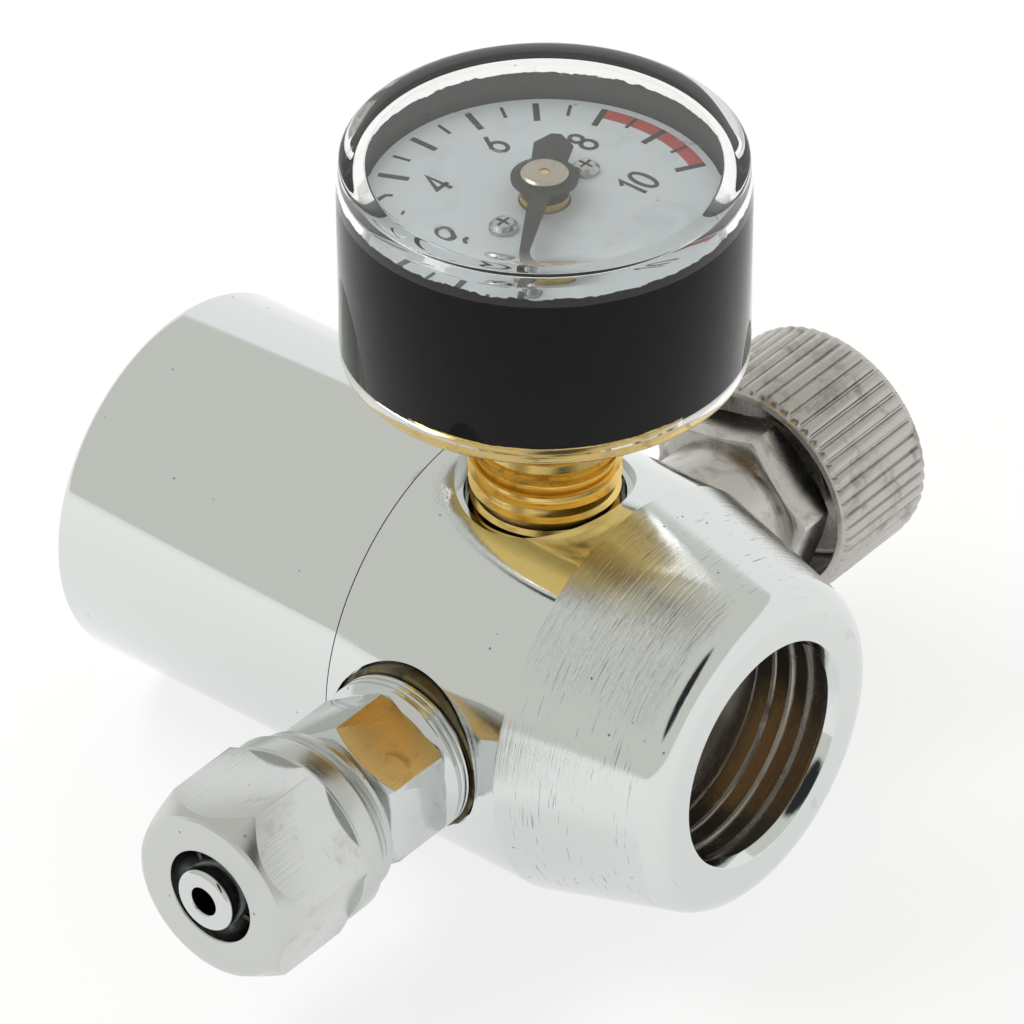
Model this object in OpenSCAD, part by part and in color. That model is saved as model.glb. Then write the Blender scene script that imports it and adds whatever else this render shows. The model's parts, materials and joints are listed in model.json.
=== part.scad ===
// Miniature gas pressure regulator with a gauge, a hose fitting and a needle-valve knob.
// Four axes meet in one point: +X inlet port, -X spring bonnet, +Z gauge, -Y hose outlet, +Y knob.
// The modules draw around that meeting point, and placed() moves it to x = -cross_x, so that the
// model's origin is on the inlet axis, where the inlet thread begins behind its mouth chamfer.

/* [Body] */
// Outside diameter of the body
body_d = 27.1; // [25.5:0.1:33]
// Meeting point to the seam with the spring bonnet
body_back = 6.6; // [6.4:0.1:8]
// Meeting point to the start of the taper
body_front = 6.8; // [5.5:0.1:8.5]
// Meeting point to the port face
nose_x = 17.3; // [16.4:0.1:21]
// Diameter that the taper would reach at the port face
nose_d = 21.5; // [19.6:0.1:24.4]
// Radius of the rounded rim between taper and port face
nose_round = 1.9; // [0.6:0.1:2.4]

/* [Inlet] */
// Minor diameter of the inlet thread
inlet_d = 14.34; // [12:0.02:15.2]
// Length of the inlet thread
inlet_l = 7.6; // [6.5:0.1:8]
// Depth of the flare at the mouth of the inlet
inlet_chamfer = 0.7; // [0.3:0.1:0.9]
// How far that flare widens the inlet's radius
inlet_flare = 0.4; // [0.2:0.1:0.6]
// Depth of the gasket recess behind the thread
gasket_t = 1.0; // [0.8:0.1:1.2]
// Diameter of the pocket for the valve cartridge
pocket_d = 8.4; // [8:0.1:8.8]

/* [Spring bonnet and piston] */
// Outside diameter of the spring bonnet
cap_d = 24.7; // [24:0.1:27]
// Length of the spring bonnet
cap_l = 23.3; // [21:0.1:28]
// Thickness of the bonnet's end wall
cap_end = 3.0; // [2.5:0.1:4]
// Diameter of the spring chamber
chamber_d = 20.0; // [17.4:0.1:20.4]
// Outside diameter of the threaded spigot on the body
spigot_d = 21.2; // [20.6:0.1:21.6]
// Length of the threaded spigot
spigot_l = 6.0; // [5.5:0.1:7]
// Diameter of the piston bore
piston_bore_d = 17.2; // [15:0.1:17.8]
// Travel of the piston and the poppet
piston_travel = 0.6; // [0.4:0.05:0.7]
// Wire diameter of the main spring
spring_wire = 1.7; // [1.2:0.1:2]
// Mean diameter of the main spring
spring_d = 12.4; // [11:0.1:13]
// Thread diameter of the preset screw
preset_d = 6.0; // [5:0.1:7]

/* [Side ports] */
// Thread diameter of the outlet and needle-valve holes
port_thread_d = 9.7; // [9:0.1:10]
// Diameter of the flat seats around those holes
spot_d = 11.4; // [11.2:0.1:12.6]
// Sideways offset of the outlet's axis from the meeting point
outlet_x = -0.3; // [-0.5:0.1:0.5]
// Thickness of the outlet and bonnet gaskets
port_gasket_t = 1.05; // [0.8:0.05:1.4]

/* [Outlet fitting and nut] */
// Width across flats of the fitting
fitting_af = 9.3; // [8.6:0.1:10]
// Length of the fitting's hexagon
fitting_hex_l = 5.2; // [4.4:0.1:6]
// Length of the round collar behind that hexagon
collar_l = 1.75; // [1:0.05:2.5]
// Diameter of that collar
collar_d = 10.6; // [10:0.1:11]
// Diameter of the hose nipple
nipple_d = 4.2; // [3.8:0.1:4.4]
// Bore of the fitting
nipple_bore = 1.9; // [1.5:0.1:2.2]
// Thread diameter under the nut
nut_thread_d = 8.8; // [8.4:0.1:9.2]
// Width across flats of the nut
nut_af = 11.4; // [11:0.1:13]
// Length of the nut
nut_l = 10.8; // [9.8:0.1:12]
// Diameter of the hose hole in the nut
hose_hole_d = 6.26; // [5.8:0.02:6.6]
// How far the nipple stands out of the nut
nipple_out = 0.6; // [0.2:0.1:2]

/* [Needle valve and knob] */
// Diameter of the round neck of the valve bonnet
neck_d = 10.0; // [9.9:0.1:10.8]
// Meeting point to the near face of the bonnet's hexagon
bonnet_hex_y = 18.05; // [17:0.05:19]
// Width across flats of the bonnet
bonnet_af = 11.2; // [10.6:0.1:11.6]
// Length of the bonnet's hexagon
bonnet_hex_l = 3.15; // [2.5:0.05:3.6]
// Thread diameter of the needle stem
stem_thread_d = 4.9; // [4.4:0.1:5.2]
// Diameter of the knob over its ribs
knob_d = 15.6; // [15:0.1:19]
// Length of the knob
knob_l = 8.8; // [8:0.1:10.5]
// Meeting point to the near rim of the knob, one turn open
knob_y = 20.87; // [20.6:0.01:21.2]
// Wall between the ribs' roots and the hollow skirt
knob_wall = 0.6; // [0.4:0.05:0.7]
// Depth of the knurl grooves
knurl_depth = 0.28; // [0.15:0.01:0.35]
// Number of ribs on the knob
knurl_count = 50; // [36:2:60]

/* [Gauge] */
// Diameter of the gauge at its foot
gauge_d = 25.0; // [24.6:0.1:30]
// Taper of the clear cup on its diameter
gauge_taper = 0.4; // [0:0.1:0.6]
// Meeting point to the foot of the gauge
gauge_z = 23.2; // [22:0.1:25]
// Height of the clear cup
gauge_h = 14.2; // [14.2:0.1:17]
// Wall of the clear cup
lens_wall = 1.3; // [1:0.1:1.6]
// Thickness of the window
window_t = 1.5; // [1:0.1:1.6]
// Width of the cup's rounded top edge
lens_round = 1.75; // [1:0.05:2]
// Height of that rounded edge
lens_drop = 0.6; // [0.3:0.05:1.2]
// Diameter of the gauge's threaded stem
gauge_stem_d = 10.0; // [9:0.1:10.4]
// Foot of the gauge to the dial's face
dial_h = 9.8; // [9.8:0.1:10.2]

/* [Movement] */
// Teeth on the pinion
pinion_teeth = 10; // [8:2:12]
// Gear module of pinion and sector
gear_module = 0.12; // [0.1:0.01:0.12]
// Ratio of the sector gear to the pinion
gear_ratio = 9; // [8:1:9]
// Radius of the bent pressure tube
bourdon_r = 9.3; // [9.1:0.1:9.6]

/* [Clearances] */
// Radial gap of threads and spigots that are screwed together
screw_gap = 0.05; // [0.02:0.01:0.1]
// Radial gap of sliding and turning pieces
run_gap = 0.03; // [0.02:0.01:0.05]
// Gap between faces of separate pieces that meet
face_gap = 0.05; // [0:0.01:0.1]
// Visible seam between bonnet and body
seam_gap = 0.15; // [0.05:0.05:0.3]

/* [Hidden] */
$fn = 72;
cross_x = nose_x - inlet_chamfer;
body_r = body_d / 2;
nose_r = nose_d / 2;
inlet_r = inlet_d / 2;
thread_start = nose_x - inlet_chamfer;
thread_end = thread_start - inlet_l;
inlet_floor = thread_end - gasket_t;
gasket_r = inlet_r - 0.57;
pocket_r = pocket_d / 2;
pocket_floor = inlet_floor - 5.5;
centre_bore_r = 2.3;
pilot_r = 1.5;
port_hole_r = port_thread_d / 2 + screw_gap;
port_bottom = 6.5;
port_seat = sqrt(pow(body_r, 2) - pow(spot_d / 2, 2)) - face_gap;
port_outer = port_seat + port_gasket_t + face_gap;
needle_seat_r = 1.2;
bypass_r = 0.9;
bypass_z = port_hole_r - bypass_r - 0.15;
gauge_hole_r = gauge_stem_d / 2 + screw_gap;
gauge_seat = 8.0;
gauge_relief_r = gauge_stem_d / 2 + 0.6;
gauge_relief_z = sqrt(pow(body_r, 2) - pow(gauge_relief_r, 2)) - 0.2;
piston_shoulder = -body_back + 0.4;
spigot_end = -body_back - spigot_l;
cap_start = -body_back - seam_gap;
cap_rear = cap_start - cap_l;
chamber_end = cap_rear + cap_end;

// Every cut runs this far past the face that it opens
past = 1;

seat_t = 1.05;
seat_lip_h = 0.35;
seat_hole_r = 1.2;
seat_lip_foot = 0.8;
seat_lip_top = 0.3;
poppet_x = pocket_floor + face_gap + seat_t + seat_lip_h + piston_travel;
seal_t = 0.6;
seal_r = 2.2;
flange_t = 0.7;
push_pin_r = 0.8;
retainer_end = thread_end - 0.1;
guide_start = retainer_end - 1.7;
guide_t = 0.8;
filter_r = 3.3;
feed_hole_r = 0.6;
feed_hole_at = 2.1;
poppet_spring_r = 1.5;
poppet_wire_r = 0.12;
poppet_turns = 3;

piston_r = piston_bore_d / 2 - run_gap;
piston_front = piston_shoulder - face_gap;
piston_l = 4.2;
piston_rear = piston_front - piston_l;
piston_boss_l = 1.6;
pin_depth = 2.6;
piston_boss_r = spring_d / 2 - spring_wire / 2 - 0.3;
ring_wire = 0.8;
spring_front = piston_rear - 0.05;
spring_turns = 4;
seat_plate_t = 2.0;
seat_plate_rim = 0.6;
seat_boss_l = 1.5;
socket_af = 3.0;
socket_l = 2.0;
preset_sunk = 0.3;
vent_r = 0.75;
vent_at = chamber_d / 2 - 2.2;
seat_plate_x = chamber_end + 1.5;
spring_rear = seat_plate_x + seat_plate_t + 0.05;

collar_start = port_outer;
hex_start = collar_start + collar_l;
hex_end = hex_start + fitting_hex_l;
nut_start = hex_end + 0.6;
nut_end = nut_start + nut_l;
nipple_end = nut_end + nipple_out;
fitting_angle = 32;
nut_angle = 10;
nut_collar_l = 3.5;
nut_chamfer_l = 1.9;
barb_cone = nut_end - 4.2;
nipple_lip_l = 1.9;
flat_w = 4.4;

stem_pitch = 0.75;
bonnet_angle = 12;
hex_far = bonnet_hex_y + bonnet_hex_l;
gland_l = 2.2;
gland_wall = 1.1;
gland_end = hex_far + gland_l;
gland_r = 3.2;
gland_start = bonnet_hex_y - 0.1;
neck_start = port_outer;
ring_y = gland_start + 2.8;
stem_ring_r = 0.55;
knob_skirt_r = knob_d / 2 - knurl_depth - knob_wall;
knob_web = gland_end + 2.1;
knob_end = knob_y + knob_l;
knob_bore_r = 2.0 + run_gap / 2;
screw_head_r = 2.2;
screw_head_l = 1.4;
screw_shank_r = 1.0;
needle_root_r = 1.6;
stem_neck_r = 2.0;

cup_r = gauge_d / 2;
cup_inner_r = cup_r - lens_wall;
cup_top = gauge_z + gauge_h;
window_z = cup_top - window_t;
rim_t = 0.55;
base_t = 1.2;
band_z = gauge_z + rim_t + face_gap;
dial_z = gauge_z + dial_h;
band_top = dial_z + 1.65;
dial_t = 0.4;
dial_r = cup_inner_r - 0.4;
plate_t = 0.6;
top_plate_z = dial_z - dial_t - plate_t;
low_plate_z = gauge_z + base_t + 1.0;
plate_r = 7.6;
arbor_r = 0.3;
pivot_r = 0.35;
pinion_pitch_r = pinion_teeth * gear_module / 2;
sector_pitch_r = pinion_pitch_r * gear_ratio;
gear_centres = pinion_pitch_r + sector_pitch_r;
sector_angle = -45;
sector_x = gear_centres * cos(sector_angle);
sector_y = gear_centres * sin(sector_angle);
sector_z = low_plate_z + 2.8;
tail_l = 2.6;
tail_angle = 10;
tail_x = sector_x + tail_l * cos(tail_angle);
tail_y = sector_y + tail_l * sin(tail_angle);
tip_angle = 17;
tip_x = bourdon_r * cos(tip_angle);
tip_y = bourdon_r * sin(tip_angle);
tube_z = low_plate_z + 0.2;
tube_h = 2.8;
tube_w = 1.0;
link_z = sector_z + 0.7;
pointer_z = dial_z + 1.45;
pointer_t = 0.2;
zero_angle = -60;
stop_r = 8.3;
stop_pin_r = 0.3;
needle_tip_r = 9.1;
needle_half_w = 0.75;
tip_half_w = 0.2;
hub_r = 2.05;
cap_r = 1.45;
cap_t = 0.36;
arbor_hole_r = arbor_r + 0.02;
dial_screw_r = 3.9;
dial_screw_head_r = 0.87;
pillar_r = 0.8;
pillar_at = 6.3;
plate_screw_x = 2;
plate_screw_y = -4.5;
link_t = 0.3;
link_pin_r = 0.25;
sector_t = 0.4;

// Points of an arc, as [across, along]
function arc(across, along, radius, from, to, steps = 8) =
    [for (i = [0 : steps]) let(a = from + (to - from) * i / steps)
        [across + radius * cos(a), along + radius * sin(a)]];

module placed() translate([-cross_x, 0, 0]) children();
module along_x() rotate([0, 90, 0]) children();
module along_y() rotate([-90, 0, 0]) children();
module along_minus_y() translate([outlet_x, 0, 0]) rotate([90, 0, 0]) children();

// A turned shape: points are [radius, distance along the axis]
module turned(points) rotate_extrude() polygon(points);

// A plain round length between two places on the axis
module rod(from, to, radius) translate([0, 0, from]) cylinder(h = to - from, r = radius);

module cone(from, to, radius_from, radius_to)
    translate([0, 0, from]) cylinder(h = to - from, r1 = radius_from, r2 = radius_to);

module tube(from, to, radius, hole) difference() {
    rod(from, to, radius);
    rod(from - past, to + past, hole);
}

// A hexagonal prism by its width across flats
module hexagon(from, to, flats, angle) translate([0, 0, from]) rotate([0, 0, angle])
    cylinder(h = to - from, r = flats / sqrt(3), $fn = 6);

// A round wire ring around the axis
module ring(at, mean_r, wire_r) translate([0, 0, at]) rotate_extrude()
    translate([mean_r, 0]) circle(r = wire_r, $fn = 32);

// A helical wire as one closed mesh, its ends cut square
module coil(from, to, mean_r, wire_r, turns, sides = 8, per_turn = 14) {
    rings = turns * per_turn;
    points = [for (i = [0 : rings]) for (k = [0 : sides - 1])
        let(a = 360 * i / per_turn, b = 360 * k / sides, r = mean_r + wire_r * cos(b))
            [r * cos(a), r * sin(a),
             from + wire_r + (to - from - 2 * wire_r) * i / rings + wire_r * sin(b)]];
    walls = [for (i = [0 : rings - 1]) for (k = [0 : sides - 1])
        let(n = (k + 1) % sides, here = i * sides, next = here + sides)
            [here + k, here + n, next + n, next + k]];
    first = [for (k = [sides - 1 : -1 : 0]) k];
    last = [for (k = [0 : sides - 1]) rings * sides + k];
    polyhedron(points, concat(walls, [first, last]));
}

// ---- body and inlet ----

module body_blank() {
    slope = atan((body_r - nose_r) / (nose_x - body_front));
    rim_x = nose_x - nose_round;
    rim_r = nose_r + nose_round * tan(slope) - nose_round / cos(slope);
    bevel = 0.3;
    along_x() turned(concat(
        [[0, spigot_end], [spigot_d / 2 - bevel, spigot_end], [spigot_d / 2, spigot_end + bevel],
         [spigot_d / 2, -body_back], [body_r - bevel, -body_back], [body_r, bevel - body_back],
         [body_r, body_front]],
        arc(rim_r, rim_x, nose_round, slope, 90),
        [[0, nose_x]]));
}

module body() color("silver") placed() difference() {
    body_blank();
    along_x() {
        cone(thread_start, nose_x + 0.01, inlet_r, inlet_r + inlet_flare);
        rod(thread_end, nose_x, inlet_r);
        rod(inlet_floor, nose_x, gasket_r + screw_gap);
        rod(pocket_floor, nose_x, pocket_r);
        rod(piston_shoulder - past, nose_x, centre_bore_r);
        rod(spigot_end - past, piston_shoulder, piston_bore_d / 2);
    }
    rod(0, body_r, pilot_r);
    rod(gauge_seat, body_r + past, gauge_hole_r);
    rod(gauge_relief_z, body_r + past, gauge_relief_r);
    along_y() {
        rod(0, body_r, needle_seat_r);
        rod(port_bottom, body_r, port_hole_r);
        rod(port_seat, body_r + past, spot_d / 2);
    }
    along_minus_y() {
        rod(port_bottom, body_r, port_hole_r);
        rod(port_seat, body_r + past, spot_d / 2);
    }
    translate([0, 0, -bypass_z]) along_y() rod(-port_bottom - past, port_bottom + past, bypass_r);
}

module valve_seat() color("ivory") placed() along_x() difference() {
    front = pocket_floor + face_gap;
    union() {
        rod(front, front + seat_t, pocket_r - screw_gap);
        cone(front + seat_t, front + seat_t + seat_lip_h, seat_hole_r + seat_lip_foot,
             seat_hole_r + seat_lip_top);
    }
    rod(front - past, front + seat_t + seat_lip_h + past, seat_hole_r);
}

module valve_retainer() color("goldenrod") placed() along_x() difference() {
    sleeve_start = pocket_floor + 2 * face_gap + seat_t;
    rod(sleeve_start, retainer_end, pocket_r - screw_gap);
    rod(sleeve_start - past, guide_start, seal_r + 0.9);
    rod(guide_start - past, guide_start + guide_t + past, push_pin_r + screw_gap);
    rod(guide_start + guide_t, retainer_end + past, filter_r + screw_gap);
    for (a = [45 : 90 : 315]) rotate([0, 0, a]) translate([feed_hole_at, 0, 0])
        rod(guide_start - past, guide_start + guide_t + past, feed_hole_r);
}

module inlet_filter() color("peru") placed() along_x()
    rod(guide_start + guide_t + face_gap, retainer_end - 0.1, filter_r);

module inlet_gasket() color("white") placed() along_x()
    tube(inlet_floor + face_gap, thread_end - face_gap, gasket_r, pocket_r + 0.3);

module poppet() color("gold") placed() along_x() {
    flange = poppet_x + seal_t;
    rod(poppet_x, flange + 0.1, push_pin_r + 0.1);
    rod(flange, flange + flange_t, seal_r + 0.3);
    rod(flange + flange_t, guide_start + guide_t - 0.05, push_pin_r);
}

module poppet_seal() color("white") placed() along_x()
    tube(poppet_x, poppet_x + seal_t, seal_r, push_pin_r + 0.1);

module poppet_spring() color("gray") placed() along_x()
    coil(poppet_x + seal_t + flange_t + 0.02, guide_start - 0.02, poppet_spring_r,
         poppet_wire_r, poppet_turns);

// ---- spring bonnet and piston ----

module spring_cap() color("silver") placed() along_x() difference() {
    edge = 0.6;
    turned(concat(
        [[0, cap_start], [cap_d / 2 - 0.25, cap_start], [cap_d / 2, cap_start - 0.25]],
        arc(cap_d / 2 - edge, cap_rear + edge, edge, 0, -90),
        [[0, cap_rear]]));
    rod(spigot_end - 0.6, cap_start + past, spigot_d / 2 + screw_gap);
    rod(chamber_end, cap_start + past, chamber_d / 2);
    rod(cap_rear - past, chamber_end + past, preset_d / 2 + screw_gap);
    translate([0, vent_at, 0]) rod(cap_rear - past, chamber_end + past, vent_r);
}

module preset_screw() color("dimgray") placed() along_x() difference() {
    rod(cap_rear + preset_sunk, seat_plate_x - face_gap, preset_d / 2);
    hexagon(cap_rear - past, cap_rear + preset_sunk + socket_l, socket_af, 0);
}

module spring_seat() color("gold") placed() along_x() union() {
    rod(seat_plate_x, seat_plate_x + seat_plate_t, spring_d / 2 + spring_wire / 2 + seat_plate_rim);
    rod(seat_plate_x, seat_plate_x + seat_plate_t + seat_boss_l, piston_boss_r);
}

module main_spring() color("lightsteelblue") placed() along_x()
    coil(spring_rear, spring_front, spring_d / 2, spring_wire / 2, spring_turns);

module piston() color("gold") placed() along_x() difference() {
    union() {
        rod(piston_rear, piston_front, piston_r);
        rod(piston_rear - piston_boss_l, piston_rear, piston_boss_r);
    }
    translate([0, 0, (piston_rear + piston_front) / 2]) difference() {
        rod(-ring_wire - 0.1, ring_wire + 0.1, piston_r + 1);
        rod(-2, 2, piston_r - 2 * ring_wire);
    }
    rod(piston_front - pin_depth, piston_front + past, push_pin_r + 0.02);
    rod(piston_front - 0.4, piston_front + past, piston_r - 2.4);
}

module piston_o_ring() color("black") placed() along_x()
    ring((piston_rear + piston_front) / 2, piston_r - ring_wire + 0.01, ring_wire - 0.03);

module push_pin() color("lightgray") placed() along_x()
    rod(piston_front - pin_depth, poppet_x, push_pin_r);

// ---- outlet ----

module outlet_gasket() color("saddlebrown") placed() along_minus_y()
    tube(port_seat, port_outer - face_gap, spot_d / 2 - 0.15, port_hole_r);

module outlet_fitting() color("silver") placed() along_minus_y() difference() {
    corner = fitting_af / sqrt(3);
    union() {
        rod(port_bottom + 1.5, collar_start + 0.1, port_thread_d / 2);
        turned([[0, collar_start], [collar_d / 2 - 0.3, collar_start],
                [collar_d / 2, collar_start + 0.3], [collar_d / 2, hex_start - 0.4],
                [collar_d / 2 - 0.5, hex_start], [0, hex_start]]);
        intersection() {
            hexagon(hex_start, hex_end, fitting_af, fitting_angle);
            turned([[0, hex_start], [corner - 0.25, hex_start], [corner, hex_start + 0.15],
                    [corner + 0.01, hex_end - 0.7], [fitting_af / 2 - 0.25, hex_end],
                    [0, hex_end]]);
        }
        rod(hex_end - 0.1, barb_cone, nut_thread_d / 2);
        cone(barb_cone, barb_cone + 1.6, nut_thread_d / 2, nipple_d / 2 + 0.3);
        turned(concat([[0, barb_cone + 1], [nipple_d / 2 - 0.15, barb_cone + 1],
                       [nipple_d / 2 - 0.15, nipple_end - nipple_lip_l],
                       [nipple_d / 2, nipple_end - nipple_lip_l]],
            arc(nipple_d / 2 - 0.35, nipple_end - 0.35, 0.35, 0, 90, 4),
            [[0, nipple_end]]));
    }
    rod(0, nipple_end + past, nipple_bore / 2);
    rotate([0, 0, fitting_angle + 30]) translate([fitting_af / 2 - 0.2, -flat_w / 2, hex_start + 0.3])
        cube([1, flat_w, fitting_hex_l - 0.6]);
}

module compression_nut() color("silver") placed() along_minus_y() difference() {
    corner = nut_af / sqrt(3);
    band_r = nut_af / 2 + 0.45;
    groove = 0.18;
    union() {
        turned([[0, nut_start], [band_r - 0.9, nut_start], [band_r - 0.6, nut_start + 0.3],
                [band_r - 0.6, nut_start + 0.6], [band_r - 0.6 - groove, nut_start + 0.75],
                [band_r - 0.6, nut_start + 0.9], [band_r - 0.4, nut_start + 1.15],
                [band_r - 0.4 - groove, nut_start + 1.3], [band_r - 0.3, nut_start + 1.5],
                [band_r, nut_start + 1.9], [band_r, nut_start + nut_collar_l],
                [0, nut_start + nut_collar_l]]);
        intersection() {
            hexagon(nut_start + 1.9, nut_end, nut_af, nut_angle);
            turned([[0, nut_start + 1.9], [band_r, nut_start + 1.9],
                    [band_r, nut_start + nut_collar_l - 0.4],
                    [corner + 0.01, nut_start + nut_collar_l + 0.3],
                    [corner + 0.01, nut_end - nut_chamfer_l], [nut_af / 2 - 0.15, nut_end - 0.15],
                    [nut_af / 2 - 0.4, nut_end], [0, nut_end]]);
        }
    }
    rod(nut_start - past, barb_cone + 0.4, nut_thread_d / 2 + screw_gap);
    cone(barb_cone + 0.39, barb_cone + 1.7, nut_thread_d / 2 + screw_gap, hose_hole_d / 2);
    rod(barb_cone + 1.6, nut_end + past, hose_hole_d / 2);
}

// ---- needle valve and knob ----

module bonnet_gasket() color("black") placed() along_y()
    tube(port_seat, port_outer - face_gap, spot_d / 2 - 0.15, port_hole_r);

module valve_bonnet() color("lightgray") placed() along_y() difference() {
    corner = bonnet_af / sqrt(3);
    union() {
        rod(port_bottom + 1.7, neck_start + 0.1, port_thread_d / 2);
        rod(neck_start, bonnet_hex_y, neck_d / 2);
        intersection() {
            hexagon(bonnet_hex_y, hex_far, bonnet_af, -bonnet_angle);
            turned([[0, bonnet_hex_y], [bonnet_af / 2 - 0.1, bonnet_hex_y],
                    [corner + 0.01, bonnet_hex_y + 0.3], [corner + 0.01, hex_far], [0, hex_far]]);
        }
        rod(hex_far, gland_end, gland_r + gland_wall);
    }
    rod(0, gland_end, stem_thread_d / 2 + run_gap);
    rod(gland_start, gland_end + past, gland_r);
}

module needle_stem() color("lightgray") placed() along_y() {
    tip_start = port_bottom - 0.3;
    tip_end = port_bottom + stem_pitch;
    cone(tip_start, tip_end, 0.4, needle_seat_r - 0.05);
    cone(tip_end, tip_end + 0.5, needle_seat_r - 0.05, needle_root_r);
    rod(tip_end + 0.5, port_bottom + 3, needle_root_r);
    rod(port_bottom + 3, gland_start - stem_pitch - 0.4, stem_thread_d / 2);
    rod(gland_start - stem_pitch - 0.5, ring_y - 0.6, stem_neck_r);
    difference() {
        rod(gland_start + past, ring_y + 2.2, gland_r - run_gap);
        difference() {
            rod(ring_y - 0.6, ring_y + 0.6, gland_r + 1);
            rod(ring_y - past, ring_y + past, gland_r - 2 * stem_ring_r - 0.1);
        }
    }
    difference() {
        rod(ring_y + 2.1, knob_end - screw_head_l, knob_bore_r - run_gap / 2);
        rod(knob_end - 5, knob_end, screw_shank_r + screw_gap);
    }
}

module stem_o_ring() color("black") placed() along_y()
    ring(ring_y, gland_r - run_gap - stem_ring_r, stem_ring_r - 0.01);

// Outline of the knob: rounded ribs with narrow grooves between them
module knurl_outline() {
    steps = 6;
    root = knob_d / 2 - knurl_depth;
    polygon([for (i = [0 : knurl_count * steps - 1])
        let(a = 360 * i / (knurl_count * steps), bulge = abs(sin(180 * i / steps)),
            r = root + knurl_depth * pow(bulge, 0.6)) [r * cos(a), r * sin(a)]]);
}

module knob() color("darkgray") placed() along_y() difference() {
    intersection() {
        translate([0, 0, knob_y]) linear_extrude(knob_l) knurl_outline();
        turned([[0, knob_y], [knob_d / 2 - 0.35, knob_y], [knob_d / 2 + 0.01, knob_y + 0.35],
                [knob_d / 2 + 0.01, knob_end - 0.6], [knob_d / 2 - 0.6, knob_end],
                [0, knob_end]]);
    }
    rod(knob_y - past, knob_web, knob_skirt_r);
    rod(knob_y, knob_end, knob_bore_r);
    rod(knob_end - screw_head_l, knob_end + past, screw_head_r + 0.3);
}

module knob_screw() color("lightgray") placed() along_y() difference() {
    union() {
        rod(knob_end - 4.6, knob_end - screw_head_l + face_gap, screw_shank_r);
        rod(knob_end - screw_head_l + face_gap, knob_end - 0.2, screw_head_r);
    }
    translate([-screw_head_r - 1, -0.25, knob_end - 0.8]) cube([2 * screw_head_r + 2, 0.5, 2]);
}

// ---- gauge ----

module gauge_gasket() color("black") placed()
    tube(gauge_seat + face_gap, gauge_seat + 0.55, gauge_stem_d / 2 - 0.2, pilot_r);

module gauge_base() color("gold") placed() difference() {
    union() {
        rod(gauge_seat + 0.6, gauge_z + 0.1, gauge_stem_d / 2);
        rod(gauge_z, gauge_z + rim_t, cup_inner_r - screw_gap);
        rod(gauge_z, gauge_z + base_t, cup_inner_r - 0.5);
        translate([-3, -bourdon_r - 1.1, gauge_z + base_t - 0.1])
            cube([6, bourdon_r - 1, low_plate_z - gauge_z - base_t + 0.1 - face_gap]);
        rotate([0, 0, -97]) rotate_extrude(angle = 14)
            translate([plate_r + 0.3, gauge_z + base_t - 0.1])
                square([bourdon_r + 1.1 - plate_r - 0.3, low_plate_z - gauge_z - base_t + 4]);
    }
    rod(0, gauge_z + base_t / 2, 1.0);
}

module gauge_lens() color("white", 0.35) placed() difference() {
    top_r = cup_r - gauge_taper / 2;
    turned(concat(
        [[0, gauge_z], [cup_r - 0.2, gauge_z], [cup_r, gauge_z + 0.3]],
        [for (p = arc(0, 0, 1, 0, 90))
            [top_r - lens_round + lens_round * p[0], cup_top - lens_drop + lens_drop * p[1]]],
        [[0, cup_top]]));
    turned([[0, gauge_z - 1], [cup_inner_r, gauge_z - 1], [cup_inner_r, window_z - 0.5],
            [cup_inner_r - 0.5, window_z], [0, window_z]]);
}

module gauge_band() color("black") placed()
    tube(band_z, band_top, cup_inner_r - 0.05, cup_inner_r - 0.3);

module dial_plate() color("aliceblue") placed() difference() {
    rod(dial_z - dial_t, dial_z, dial_r);
    rod(dial_z - past, dial_z + past, 1.6);
    for (side = [-1, 1]) translate([0, side * dial_screw_r, 0])
        rod(dial_z - past, dial_z + past, 0.45);
    rotate([0, 0, zero_angle]) translate([stop_r, stop_offset(), 0])
        rod(dial_z - past, dial_z + past, stop_pin_r + run_gap);
}

module dial_screws() color("silver") placed() for (side = [-1, 1])
    translate([0, side * dial_screw_r, 0]) difference() {
        union() {
            rod(dial_z - 0.9, dial_z + 0.1, 0.4);
            turned([[0, dial_z + 0.02], [dial_screw_head_r, dial_z + 0.02],
                    [dial_screw_head_r, dial_z + 0.25], [dial_screw_head_r - 0.25, dial_z + 0.5],
                    [0, dial_z + 0.52]]);
        }
        for (turn = [0, 90]) rotate([0, 0, turn])
            translate([-0.5, -0.1, dial_z + 0.25]) cube([1, 0.2, 1]);
    }

// Sideways distance of the stop pin from the needle's centre line
function stop_offset() = stop_pin_r + tip_half_w + 0.08;

module stop_pin() color("silver") placed() rotate([0, 0, zero_angle])
    translate([stop_r, stop_offset(), 0]) {
        turned(concat([[0, dial_z - dial_t], [stop_pin_r, dial_z - dial_t]],
                      arc(0, dial_z + 1.6, stop_pin_r, 0, 90, 4)));
        rod(dial_z + 0.02, dial_z + 0.2, 0.6);
    }

module movement_plate(at) difference() {
    rod(at, at + plate_t, plate_r);
    rod(at - past, at + plate_t + past, arbor_r + screw_gap);
    translate([sector_x, sector_y, 0]) rod(at - past, at + plate_t + past, pivot_r + screw_gap);
}

module low_movement_plate() color("gold") placed() difference() {
    movement_plate(low_plate_z);
    for (side = [-1, 1]) translate([side * plate_screw_x, plate_screw_y, 0])
        rod(low_plate_z - past, low_plate_z + 2, 0.55);
}

module top_movement_plate() color("gold") placed() difference() {
    union() {
        movement_plate(top_plate_z);
        tube(top_plate_z + plate_t - 0.1, dial_z + 0.5, 1.5, arbor_r + screw_gap);
    }
    for (side = [-1, 1]) translate([0, side * dial_screw_r, 0])
        rod(top_plate_z - past, dial_z, 0.45);
}

module movement_pillars() color("gold") placed()
    for (a = [90, 180, 235]) rotate([0, 0, a]) translate([pillar_at, 0, 0])
        rod(low_plate_z + plate_t, top_plate_z, pillar_r);

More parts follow.
